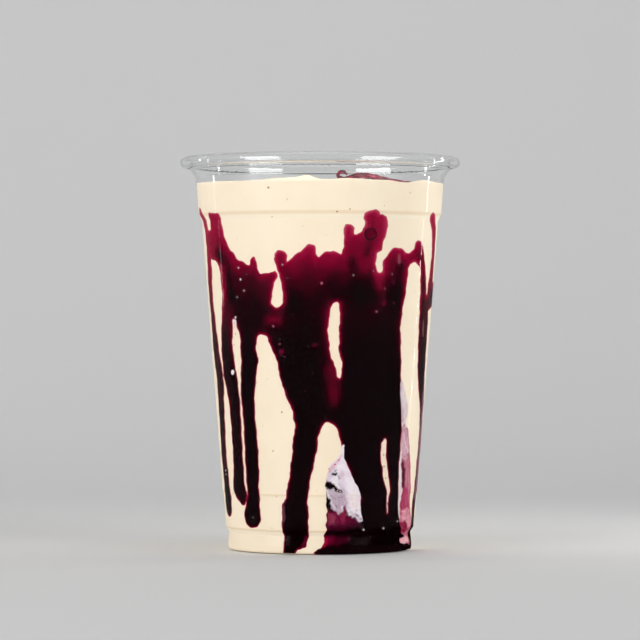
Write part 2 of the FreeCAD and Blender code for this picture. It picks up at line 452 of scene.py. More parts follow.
@dataclass(frozen=True)
class ClearPlastic:
    """Thin clear formed plastic with faint draw lines."""

    index: float = 1.42
    roughness: float = 0.02
    tint: Colour = (0.985, 0.99, 0.992)
    wetted: float = 0.83
    wet_up_to: float = 126.9
    foot_wetted: float = 0.96
    foot_up_to: float = 8.6

    def dress(self, piece: bpy.types.Object) -> None:
        """Give the piece clear plastic, which mirrors less where the drink wets it."""
        kit = Kit("clear_plastic")
        draw = kit.noise(260.0, 2.0, kit.stretched((1.0, 1.0, 0.08)))
        smears = kit.noise(90.0, 4.0)
        shader = kit.surface({
            "Base Color": self.tint,
            "Roughness": self.roughness + 0.05 * smears.above(0.55, 0.8),
            "IOR": self.index,
            "Transmission Weight": 1.0,
            "Normal": kit.bump(draw, 0.00004, 0.6),
        })
        shadow = kit.add("ShaderNodeLightPath", {}, {}, "Is Shadow Ray")
        through = kit.add("ShaderNodeBsdfTransparent", {}, {"Color": self.tint})
        height = kit.height()
        wet_line, foot = self.wet_up_to * MM, self.foot_up_to * MM
        wet = self.wetted * (1 - height.above(wet_line, wet_line + MM))
        wet = wet + (self.foot_wetted - self.wetted) * (1 - height.above(foot, foot + MM))
        calmed = kit.add("ShaderNodeMixShader", {}, {0: wet, 1: shader, 2: through})
        kit.wear(kit.add("ShaderNodeMixShader", {}, {0: shadow, 1: calmed, 2: through}), piece)


@dataclass(frozen=True)
class CreamyDrink:
    """Thick cream-coloured milkshake with fine pores, and painted light and shade at the cup's steps."""

    cream: Colour = (0.985, 0.845, 0.650)
    shade: Colour = (0.915, 0.745, 0.52)
    # painted shade: the cream as it looks in the shade inside small pores
    pore_shade: Colour = (0.80, 0.62, 0.38)
    # painted light: a lighter cream on the downward slopes of the ledge and the neck, which would lie in
    # shade
    painted_slope_light: Colour = (1.0, 0.885, 0.70)
    painted_light_spans: tuple[Span, ...] = ((114.4, 115.0, 115.6, 116.2), (6.0, 6.6, 7.3, 7.9))
    # painted shade: tan lines along the cup's ledge, bead and shelf
    painted_step_shade: Colour = (0.82, 0.62, 0.38)
    painted_shade_spans: tuple[Span, ...] = (
        (115.8, 116.6, 116.9, 117.6), (19.9, 20.2, 20.5, 20.8), (7.5, 7.9, 8.2, 8.6),
    )

    def dress(self, piece: bpy.types.Object) -> None:
        """Give the piece an almost even cream with pores, folds and soft bumps."""
        kit = Kit("milkshake")
        clouds = kit.noise(70.0, 4.0, kit.stretched((1.0, 1.0, 0.6)))
        grain = kit.noise(1400.0, 2.0)
        pores = kit.add(
            "ShaderNodeTexVoronoi", {"feature": "F1"}, {"Vector": kit.place, "Scale": 320.0}, "Distance"
        )
        kept = kit.noise(150.0, 1.0).above(0.60, 0.68)
        pit = (1 - pores.above(0.05, 0.16)) * kept
        tone = kit.mix(clouds.above(0.42, 0.75) * 0.35, self.cream, self.shade)
        tone = kit.mix(grain.above(0.5, 0.9) * 0.15, tone, self.shade)
        # painted shade in the pores
        tone = kit.mix(pit * 0.35, tone, self.pore_shade)
        height = kit.height() * (1 / MM)
        # painted light on the slopes, then painted shade lines at the cup's steps, both by height
        tone = kit.mix(kit.zones(height, self.painted_light_spans) * 0.8, tone, self.painted_slope_light)
        tone = kit.mix(kit.zones(height, self.painted_shade_spans) * 0.5, tone, self.painted_step_shade)
        relief = clouds * 0.5 + grain * 0.08 - pit * 0.2
        kit.coat(piece, tone, 0.42 + 0.2 * grain, 0.35, kit.bump(relief, 0.0005, 0.5))


@dataclass(frozen=True)
class BerrySauce:
    """Dark translucent sauce: rose where it is thin, nearly black where it is thick."""

    fringe: Colour = (0.56, 0.10, 0.16)
    rim: Colour = (0.42, 0.018, 0.070)
    tip: Colour = (0.295, 0.0015, 0.032)
    thin: Colour = (0.165, 0.0003, 0.0165)
    medium: Colour = (0.048, 0.0003, 0.0058)
    deep: Colour = (0.0085, 0.0002, 0.0011)
    thick: Colour = (0.0022, 0.0002, 0.0005)
    roughness: float = 0.3
    specular: float = 0.0
    stained: bool = True

    def dress(self, piece: bpy.types.Object) -> None:
        """Give the piece its sauce, coloured by the mesh's depth and stain values."""
        kit = Kit(piece.name + "_finish")
        depth = kit.pick("depth", "Fac")
        clouds = kit.noise(110.0, 5.0, kit.stretched((1.0, 1.0, 0.45)))
        pulp = kit.noise(900.0, 4.0)
        drift = kit.noise(240.0, 4.0, kit.stretched((1.0, 1.0, 0.16)))
        cloudy = (0.62 * (clouds - 0.5) + 0.34 * (drift - 0.5)) * depth.above(0.04, 0.35)
        level = depth + cloudy * (1 - 0.7 * depth.above(0.7, 0.95)) + 0.08 * (pulp - 0.5)
        tone = kit.ramp(level, (
            (0.0, self.fringe), (0.07, self.rim), (0.16, self.tip), (0.36, self.thin),
            (0.58, self.medium), (0.80, self.deep), (0.97, self.thick),
        ))
        if self.stained:
            patchy = kit.mix(pulp.above(0.35, 0.75) * 0.3, kit.pick("stain", "Color"), tone)
            tone = kit.mix(kit.pick("stain", "Alpha"), tone, patchy)
        relief = kit.bump(pulp * 0.4 + clouds * 0.6, 0.0004, 0.35)
        kit.coat(piece, tone, self.roughness + 0.15 * pulp, self.specular, relief)


@dataclass(frozen=True)
class StainedCream:
    """Frothy cream that the sauce has marbled."""

    wisp: Colour = (0.84, 0.77, 0.82)
    grain: Colour = (0.60, 0.36, 0.48)

    def dress(self, piece: bpy.types.Object) -> None:
        """Give the piece the colours painted on its mesh, broken up by froth."""
        kit = Kit("stained_" + piece.name)
        stain = kit.pick("stain", "Color")
        wisps = kit.noise(380.0, 5.0, kit.stretched((1.0, 1.0, 0.6)))
        froth = kit.noise(700.0, 4.0)
        cloudy = kit.mix(wisps.above(0.30, 0.56), self.wisp, WHITE)
        grainy = kit.mix(froth.above(0.55, 0.80) * 0.45, WHITE, self.grain)
        tone = kit.mix(1.0, kit.mix(1.0, stain, cloudy, "MULTIPLY"), grainy, "MULTIPLY")
        relief = kit.bump(wisps * 0.7 + froth * 0.3, 0.0005, 0.5)
        kit.coat(piece, tone, 0.4 + 0.2 * froth, 0.0, relief)


@dataclass(frozen=True)
class Speckled:
    """A small fleck, crumb or bubble with a little variation."""

    name: str
    colour: Colour
    other: Colour
    roughness: float = 0.4

    def dress(self, piece: bpy.types.Object) -> None:
        """Give the piece two close colours in a fine mottle."""
        kit = Kit(self.name)
        mottle = kit.noise(1500.0, 2.0)
        place = kit.noise(60.0, 1.0)
        tone = kit.mix((mottle * 0.5 + place * 0.5).above(0.4, 0.62), self.colour, self.other)
        kit.coat(piece, tone, self.roughness + 0.15 * mottle, 0.35, kit.bump(mottle, 0.0001, 0.4))


# --------------------------------------------------------------------------- sauce drawing


@dataclass(frozen=True)
class Stroke:
    """A smooth band along the wall through (azimuth, height, half width) marks."""

    marks: tuple[Mark, ...]
    steps: int = 4
    least: float = 0.12

    def line(self) -> np.ndarray:
        """Return the band's marks with smooth ones set between them."""
        marks = np.array(self.marks, float)
        if len(marks) == 1:
            return np.vstack((marks, marks))
        line = eased(marks, self.steps)
        line[:, 2] = np.maximum(line[:, 2], self.least)
        return line

    def reach(self, azimuth: np.ndarray, height: np.ndarray) -> np.ndarray:
        """Return each place's distance to the band's edge, negative inside it."""
        along = azimuth * ARC
        nearest = np.full(along.shape, 1e9)
        line = self.line()
        for (a0, z0, w0), (a1, z1, w1) in zip(line, line[1:]):
            across, rise = (a1 - a0) * ARC, z1 - z0
            length = max(across * across + rise * rise, 1e-9)
            share = ((along - a0 * ARC) * across + (height - z0) * rise) / length
            share = np.clip(share, 0.0, 1.0)
            gap = np.hypot(along - a0 * ARC - share * across, height - z0 - share * rise)
            nearest = np.minimum(nearest, gap - (w0 + (w1 - w0) * share))
        return nearest


@dataclass(frozen=True)
class Dab:
    """A colour rubbed along a stroke with a soft edge."""

    stroke: Stroke
    colour: Colour
    soft: float = 1.0
    strength: float = 1.0


def band(*marks: Mark) -> Stroke:
    """Return a stroke through marks."""
    return Stroke(marks)


def dab(colour: Colour, *marks: Mark, soft: float = 1.0, strength: float = 1.0) -> Dab:
    """Return a dab of colour along marks."""
    return Dab(Stroke(marks), colour, soft, strength)


def sway(azimuth: np.ndarray, height: np.ndarray, size: float) -> tuple[np.ndarray, np.ndarray]:
    """Return places moved a little by crossing waves, so that drawn edges look poured."""
    along = azimuth * ARC
    across = np.sin(0.83 * height + 1.3 * np.sin(0.41 * along))
    across = across + 0.7 * np.sin(1.9 * height + 1.7 * np.sin(0.7 * along + 1.0))
    across = across + 0.45 * np.sin(3.7 * height + 2.0 * np.sin(1.3 * along))
    rise = np.sin(0.91 * along + 1.1 * np.sin(0.37 * height))
    rise = rise + 0.7 * np.sin(2.1 * along + 1.5 * np.sin(0.6 * height + 2.0))
    rise = rise + 0.45 * np.sin(3.9 * along + 1.8 * np.sin(1.1 * height))
    return azimuth + size * across / ARC, height + size * rise


@dataclass
class WallFilm:
    """A sheet of sauce or stained cream that lies against the inside of the wall."""

    name: str
    runs: tuple[Stroke, ...]
    span: Span
    spacing: float
    lift: float
    thickness: float
    gaps: tuple[Stroke, ...] = ()
    merge: float = 0.07
    edge_share: float = 0.3
    full_from: float = 1.5
    blend: float = 1.0
    depth_blend: float = 4.0
    body: tuple[tuple[Stroke, float, float], ...] = ()
    layers: tuple[Mark, ...] = ((0.0, 0.6, 1.0),)
    ground: Colour = (0.8, 0.7, 0.75)
    ground_strength: float = 0.0
    dabs: tuple[Dab, ...] = ()
    waver: float = 0.10
    stain_waver: float = 0.24
    section: CupSection = field(default_factory=CupSection)

    def outline(
        self, azimuth: np.ndarray, height: np.ndarray, blend: float | None = None
    ) -> np.ndarray:
        """Return each place's distance to the film's edge, negative inside it.

        Args:
            azimuth: the places' azimuths.
            height: their heights.
            blend: how softly the runs join, where not as the film's own edge does.
        """
        blend = blend or self.blend
        azimuth, height = sway(azimuth, height, self.waver)
        shape = None
        for run in self.runs:
            reach = run.reach(azimuth, height)
            if shape is None:
                shape = reach
                continue
            share = np.clip(0.5 + 0.5 * (reach - shape) / blend, 0.0, 1.0)
            shape = reach + (shape - reach) * share - blend * share * (1 - share)
        for gap in self.gaps:
            shape = np.maximum(shape, -gap.reach(azimuth, height))
        return shape

    def depth(self, azimuth: np.ndarray, height: np.ndarray, edge: np.ndarray) -> np.ndarray:
        """Return how thick the sauce looks, from 0 at its edge to 1.

        Each layer is a height, the millimetres over which the sauce deepens inwards
        there, and how deep it looks at most. Each body part deepens or thins that.
        """
        heights, lengths, deepest = zip(*self.layers)
        look = 1.0 - np.exp(np.minimum(edge, 0.0) / np.interp(height, heights, lengths))
        strength = np.interp(height, heights, deepest)
        for stroke, factor, soft in self.body:
            share = smooth(soft, -soft, stroke.reach(azimuth, height))
            strength = strength * (1.0 + (factor - 1.0) * share)
        return np.minimum(look * strength, 1.0)

    def stain(self, azimuth: np.ndarray, height: np.ndarray) -> np.ndarray:
        """Return the colour and strength painted at each place."""
        moved = sway(azimuth, height, self.stain_waver)
        colour = np.empty((len(azimuth), 4))
        colour[:, :3] = self.ground
        colour[:, 3] = self.ground_strength
        for mark in self.dabs:
            reach = mark.stroke.reach(*moved)
            share = mark.strength * smooth(mark.soft, -mark.soft, reach)
            kept = colour[:, 3] * (1 - share)
            total = np.maximum(share + kept, 1e-6)
            for channel in range(3):
                mixed = colour[:, channel] * kept + mark.colour[channel] * share
                colour[:, channel] = mixed / total
            colour[:, 3] = share + kept
        return colour

    def build(self) -> bpy.types.Object:
        """Draw the film flat, cut its outline, wrap it on the wall and thicken it."""
        left, right, low, high = self.span
        wide, tall = (right - left) * ARC, high - low
        bm = bmesh.new()
        bmesh.ops.create_grid(
            bm, x_segments=round(wide / self.spacing), y_segments=round(tall / self.spacing), size=0.5
        )
        bmesh.ops.scale(bm, verts=bm.verts, vec=(wide, tall, 1.0))
        middle = Vector(((left + right) / 2 * ARC, (low + high) / 2, 0.0))
        bmesh.ops.translate(bm, verts=bm.verts, vec=middle)
        edge_layer = bm.verts.layers.float.new("edge")
        flat = np.array([v.co[:2] for v in bm.verts])
        for vert, value in zip(bm.verts, self.outline(flat[:, 0] / ARC, flat[:, 1])):
            vert[edge_layer] = value
        trim(bm, edge_layer, self.merge)
        bmesh.ops.recalc_face_normals(bm, faces=bm.faces)

        flat = np.array([v.co[:2] for v in bm.verts])
        azimuth, height = flat[:, 0] / ARC, flat[:, 1]
        edge = np.array([v[edge_layer] for v in bm.verts])
        depth_layer = bm.verts.layers.float.new("depth")
        stain_layer = bm.verts.layers.float_color.new("stain")
        inner = np.minimum(edge, self.outline(azimuth, height, self.depth_blend))
        depth = self.depth(azimuth, height, np.where(edge > -0.05, edge, inner))
        stain = self.stain(azimuth, height)
        radius = self.section.radius(height) + self.lift
        for row, vert in enumerate(bm.verts):
            vert[depth_layer] = depth[row]
            vert[stain_layer] = stain[row]
            vert.co = around(azimuth[row], radius[row], height[row])

        back = bmesh.ops.extrude_face_region(bm, geom=bm.faces[:])["geom"]
        for vert in (part for part in back if isinstance(part, bmesh.types.BMVert)):
            rise = float(smooth(0.0, self.full_from, -vert[edge_layer]))
            share = self.edge_share + (1 - self.edge_share) * rise
            inward = Vector((-vert.co.x, -vert.co.y, 0.0)).normalized()
            vert.co += inward * self.thickness * share
        bmesh.ops.recalc_face_normals(bm, faces=bm.faces)
        bm.verts.layers.float.remove(edge_layer)
        return finish_mesh(bm, self.name)


# --------------------------------------------------------------------------- stain colours


BLACK_FOOT = (0.006, 0.001, 0.002)
DARK_LINE = (0.010, 0.001, 0.003)
FOOT_WINE = (0.060, 0.001, 0.011)
FOOT_CRIMSON = (0.15, 0.001, 0.022)
FOOT_RED = (0.40, 0.003, 0.045)
# GLINT and GREY_GLINT are painted highlights on the dark sauce
GLINT = (0.28, 0.13, 0.20)
GREY_GLINT = (0.30, 0.13, 0.20)
LEG_RED = (0.20, 0.004, 0.035)
LEG_EDGE = (0.20, 0.05, 0.09)
LILAC = (0.66, 0.53, 0.63)
LILAC_WHITE = (0.90, 0.81, 0.86)
PINK_WHITE = (0.93, 0.81, 0.80)
PALE = (0.80, 0.68, 0.69)
# a violet used only for painted shade on the froth
VIOLET_SHADE = (0.44, 0.31, 0.45)
LILAC_GREY = (0.56, 0.44, 0.52)
PURPLE = (0.20, 0.08, 0.17)
BLACK_WINE = (0.0040, 0.0006, 0.0012)
WINE = (0.032, 0.0010, 0.008)
MAGENTA = (0.17, 0.004, 0.038)
DEEP_MAGENTA = (0.13, 0.002, 0.030)
DUSTY_ROSE = (0.31, 0.045, 0.090)
CRIMSON = (0.44, 0.050, 0.125)
DARK_CRIMSON = (0.28, 0.010, 0.050)
STREAK = (0.105, 0.002, 0.020)
ROSE = (0.54, 0.165, 0.235)
MAUVE = (0.36, 0.10, 0.15)
LILAC_PINK = (0.66, 0.385, 0.455)
PINK = (0.72, 0.30, 0.37)
SALMON = (0.92, 0.47, 0.50)


# --------------------------------------------------------------------------- the pieces


@dataclass
class Cup:
    """The clear cup: one sheet with a raised floor, a stacking ledge and a rolled rim."""

    section: CupSection = field(default_factory=CupSection)
    crease: float = 50.0
    finish: ClearPlastic = ClearPlastic()

    def build(self) -> bpy.types.Object:
        """Spin the sheet's section and dress it."""
        drink_side = self.section.whole()
        outer_side = self.section.offset(drink_side, self.section.wall)
        profile = [tuple(point) for point in np.vstack((drink_side, outer_side[::-1]))]
        piece = finish_mesh(spun(profile), "clear_cup", self.crease)
        self.finish.dress(piece)
        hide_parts("cup")
        return piece


@dataclass(frozen=True)
class Fold:
    """A soft rise or dip in the top of the drink."""

    azimuth: float
    share: float
    rise: float
    spread: float


@dataclass
class Drink:
    """The milkshake, which fills the cup to an uneven line under the rim."""

    section: CupSection = field(default_factory=CupSection)
    fill: float = 127.45
    lift: float = 0.15
    settled_from: float = 117.5
    calm_wall: Place = (42.0, 34.0)
    calm_middle: float = 12.0
    swirl: float = 0.55
    ripple: float = 0.18
    folds: tuple[Fold, ...] = (
        Fold(-5.6, 1.0, 1.25, 2.6),
        Fold(-12.5, 1.0, 0.62, 5.2),
        Fold(12.5, 1.0, 0.42, 4.0),
        Fold(42.0, 1.0, -0.70, 4.6),
        Fold(57.0, 1.0, 0.50, 5.0),
        Fold(-36.0, 1.0, -0.25, 9.0),
        Fold(-88.0, 1.0, 0.40, 12.0),
        Fold(-28.0, 0.70, 1.1, 9.0),
        Fold(60.0, 0.55, -0.9, 9.0),
        Fold(100.0, 0.45, 1.2, 11.0),
        Fold(170.0, 0.60, -1.0, 12.0),
        Fold(215.0, 0.35, 1.1, 10.0),
        Fold(265.0, 0.75, -0.7, 12.0),
        Fold(140.0, 0.98, 0.6, 8.0),
        Fold(230.0, 0.98, 0.5, 9.0),
    )
    finish: CreamyDrink = CreamyDrink()

    def top(self, x: float, y: float) -> float:
        """Return how far the top stands above the mean fill line at a place."""
        rise = 0.0
        for fold in self.folds:
            centre = around(fold.azimuth, fold.share * self.section.radius(self.fill), 0.0)
            away = math.hypot(x - centre.x, y - centre.y) / fold.spread
            rise += fold.rise * math.exp(-away * away)
        radius = math.hypot(x, y)
        turn = math.atan2(x, -y)
        swirl = math.sin(3.0 * turn + radius * 0.16) * math.sin(radius * 0.11 + 0.6)
        ripple = math.sin(0.55 * x + 0.9 * math.sin(0.31 * y)) * math.sin(0.47 * y + 0.4)
        inside = float(smooth(*self.calm_wall, radius))
        calm = float(smooth(0.0, self.calm_middle, radius))
        return rise + inside * (self.swirl * swirl * calm + self.ripple * ripple)

    def profile(self) -> list[Place]:
        """Return the drink's section: the wall, a small rise at the wall and the top."""
        wall = self.section.offset(self.section.side(), self.lift)
        points = [tuple(point) for point in wall if point[1] < 116.6]
        for height in np.linspace(117.2, self.fill - 0.4, 12):
            points.append((float(self.section.radius(height)) + self.lift, float(height)))
        edge = float(self.section.radius(self.fill))
        points += [
            (edge + self.lift, self.fill + 0.25), (edge - 0.05, self.fill + 0.30),
            (edge - 0.35, self.fill + 0.16), (edge - 0.9, self.fill + 0.03), (edge - 1.7, self.fill),
        ]
        for radius in np.linspace(edge - 2.7, 1.2, 34):
            points.append((float(radius), self.fill))
        points.append((0.0, self.fill))
        return points

    def build(self) -> bpy.types.Object:
        """Spin the drink, settle its top into folds and dress it."""
        bm = spun(self.profile())
        wall_at_fill = float(self.section.radius(self.fill))
        for vert in bm.verts:
            share = float(smooth(self.settled_from, self.fill, vert.co.z))
            if share <= 0.0:
                continue
            radius = math.hypot(vert.co.x, vert.co.y)
            rise = self.top(vert.co.x, vert.co.y) * share
            if radius > wall_at_fill - 1.0 or share < 0.99:
                before = float(self.section.radius(vert.co.z))
                grown = radius + float(self.section.radius(vert.co.z + rise)) - before
                vert.co.x *= grown / radius
                vert.co.y *= grown / radius
            vert.co.z += rise
        piece = finish_mesh(bm, "milkshake_body")
        self.finish.dress(piece)
        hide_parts("milkshake")
        return piece


@dataclass
class SauceCurtain:
    """The berry sauce on the wall: fingers, runs, gaps and the pool at the foot."""

    finish: BerrySauce = BerrySauce()
    runs: tuple[Stroke, ...] = (
        # far left run with its thin tip
        band((-79.4, 118.0, 1.4), (-75.8, 114.8, 2.4), (-73.0, 110.0, 1.6), (-72.6, 100.0, 2.4),
             (-73.8, 92.0, 2.9), (-73.2, 80.0, 2.6), (-72.3, 70.0, 3.5), (-70.0, 63.0, 3.6),
             (-69.2, 58.0, 3.5), (-69.8, 52.0, 3.4), (-71.0, 42.0, 3.15), (-72.1, 33.0, 3.2),
             (-70.6, 24.0, 3.3), (-70.8, 18.5, 4.0), (-71.2, 16.0, 4.1)),
        # head and shoulder at the left
        band((-63.8, 115.6, 1.4), (-56.7, 115.7, 1.3)),
        band((-64.2, 115.2, 1.3), (-64.0, 110.0, 1.6), (-63.0, 105.0, 2.4)),
        band((-59.9, 113.2, 3.0), (-58.3, 109.6, 3.1), (-56.4, 105.0, 3.3), (-54.7, 101.5, 3.8)),
        band((-69.8, 107.4, 3.8), (-64.0, 105.8, 5.2), (-58.6, 104.6, 4.8), (-54.0, 99.8, 4.0)),
        band((-51.8, 102.4, 2.1), (-49.8, 101.2, 2.5), (-47.2, 98.2, 2.6)),
        # left run
        band((-54.8, 98.0, 3.8), (-56.0, 80.0, 3.6), (-57.8, 70.0, 3.9), (-56.3, 60.0, 4.3),
             (-54.2, 52.0, 3.6), (-53.8, 40.0, 3.3), (-53.8, 30.0, 3.3), (-55.0, 23.0, 4.1),
             (-51.8, 19.2, 2.8)),
        # inner left run
        band((-42.0, 95.0, 5.0), (-40.0, 78.0, 4.9), (-40.1, 70.0, 4.2), (-40.3, 66.0, 4.4),
             (-41.2, 60.0, 4.0), (-42.2, 50.0, 3.5), (-41.8, 40.0, 3.5), (-41.9, 30.0, 3.6),
             (-42.2, 22.0, 3.3), (-43.6, 16.5, 3.9), (-44.3, 13.3, 4.7)),
        # curtain between the left runs
        band((-52.0, 96.2, 6.2), (-44.0, 93.6, 6.3), (-37.5, 91.4, 6.3)),
        band((-50.0, 88.0, 6.5), (-42.0, 86.0, 7.0), (-33.0, 84.0, 7.2), (-28.0, 82.4, 5.6)),
        band((-34.2, 100.5, 1.1), (-34.3, 96.0, 1.5), (-34.5, 90.0, 2.5)),
        band((-30.5, 91.2, 3.9), (-26.5, 92.2, 4.1), (-23.8, 92.6, 3.6)),
        band((-36.0, 80.0, 4.6), (-30.5, 80.6, 5.2), (-25.0, 79.5, 5.6), (-22.0, 72.0, 4.6)),
        # middle fingers
        band((-19.5, 101.9, 2.1), (-19.0, 98.4, 2.5), (-16.8, 92.0, 4.6), (-15.0, 78.0, 7.4),
             (-13.0, 66.0, 7.0), (-8.0, 54.0, 6.5)),
        band((-4.9, 104.0, 1.8), (-6.4, 100.6, 3.4), (-8.0, 96.0, 5.6), (-4.0, 88.0, 8.0),
             (-2.0, 75.0, 8.0), (-0.5, 58.0, 8.0)),
        band((-9.5, 101.2, 1.6), (-13.0, 97.6, 2.6)),
        band((-3.0, 96.6, 4.3), (1.5, 96.9, 4.4)),
        band((3.6, 101.3, 2.2), (7.0, 101.2, 1.9), (9.2, 97.4, 4.0), (5.0, 94.0, 6.0)),
        band((13.7, 111.1, 1.75), (14.5, 107.0, 1.9), (15.4, 100.5, 3.8), (16.0, 88.0, 7.0),
             (17.5, 72.0, 6.5), (19.0, 58.0, 8.0), (19.0, 50.0, 7.6)),
        band((17.5, 104.6, 3.2), (21.0, 105.2, 4.4)),
        # tall head at the right of the middle
        band((24.4, 115.0, 2.3), (25.6, 115.0, 2.4), (24.9, 110.0, 2.9), (23.5, 103.0, 4.6)),
        band((30.8, 113.6, 2.2), (29.9, 109.5, 2.2), (27.6, 104.0, 2.1), (25.4, 99.0, 2.4),
             (24.0, 94.0, 3.6)),
        band((26.5, 93.0, 3.2), (33.0, 93.4, 3.2)),
        band((31.0, 89.5, 6.4), (31.0, 78.0, 9.4), (34.0, 62.0, 9.4), (35.0, 46.0, 9.8),
             (37.6, 32.0, 8.0), (39.4, 18.0, 8.2), (40.0, 6.0, 8.2)),
        band((8.0, 51.0, 5.6), (15.0, 44.5, 5.6), (20.0, 37.0, 6.0), (23.5, 29.0, 5.0),
             (25.5, 22.0, 4.0)),
        band((45.0, 56.0, 3.0), (45.2, 52.0, 3.3), (46.7, 45.0, 3.0), (47.1, 38.0, 3.0),
             (47.0, 30.0, 2.9), (48.0, 21.8, 3.0), (49.2, 14.2, 3.4), (51.4, 9.6, 3.9)),
        # right hump and arch
        band((35.8, 99.4, 2.2), (34.6, 96.6, 1.5), (34.0, 94.0, 2.0)),
        band((36.0, 98.4, 2.4), (40.4, 101.0, 3.9), (43.0, 98.0, 4.4), (41.5, 90.0, 4.6),
             (40.0, 80.0, 4.0)),
        band((43.0, 98.4, 4.0), (48.4, 99.8, 2.7), (53.4, 101.8, 2.6), (57.6, 102.6, 2.7),
             (60.4, 99.8, 1.8)),
        band((55.7, 106.5, 1.15), (56.8, 104.6, 2.4), (58.6, 102.0, 2.4)),
        # right run
        band((61.2, 100.8, 1.4), (63.4, 95.0, 2.1), (65.8, 88.0, 3.2), (68.6, 80.0, 4.4),
             (69.4, 74.0, 4.5), (70.2, 67.0, 4.3), (71.3, 61.5, 4.2), (73.2, 56.0, 4.1),
             (76.0, 51.5, 3.9), (77.8, 45.0, 2.7), (79.4, 37.4, 3.0), (78.2, 29.8, 2.8),
             (77.9, 21.8, 3.2), (76.2, 14.0, 2.6), (77.0, 8.6, 2.7), (77.0, 0.0, 2.6)),
        # far right run
        band((67.4, 116.0, 1.4), (71.6, 113.6, 2.2), (74.0, 111.5, 2.6), (76.0, 106.5, 2.3),
             (76.4, 100.0, 2.4), (75.4, 93.0, 3.0), (72.0, 86.5, 3.6)),
        band((72.0, 87.4, 3.6), (80.0, 88.6, 4.4), (87.0, 89.4, 3.9), (92.0, 88.8, 2.2)),
        # wide leg at the left of the arch
        band((-6.0, 52.0, 6.5), (-5.8, 44.0, 5.2), (-7.8, 40.0, 4.8), (-9.0, 34.5, 4.5),
             (-10.4, 30.0, 4.2), (-12.2, 24.5, 4.2), (-14.2, 19.5, 4.9), (-15.0, 14.0, 5.5),
             (-15.0, 8.0, 5.4), (-15.8, 3.0, 4.8), (-17.4, -1.0, 4.1)),
        # pool at the foot
        band((6.0, 4.4, 2.6), (9.0, 5.6, 4.4), (16.0, 6.4, 6.0), (26.0, 7.0, 8.0),
             (36.0, 4.0, 8.0), (50.0, 3.4, 6.0), (60.0, 3.0, 5.6), (74.0, 2.4, 5.4)),
        band((10.0, 12.0, 4.6), (18.0, 12.0, 4.6), (26.0, 14.0, 5.0)),
        band((-5.0, 0.2, 1.6), (2.0, 1.6, 2.2), (10.0, 2.4, 2.8), (24.0, 2.4, 3.0)),
        band((52.0, 7.4, 2.6), (62.0, 7.0, 2.0), (70.0, 6.6, 1.6)),
    )
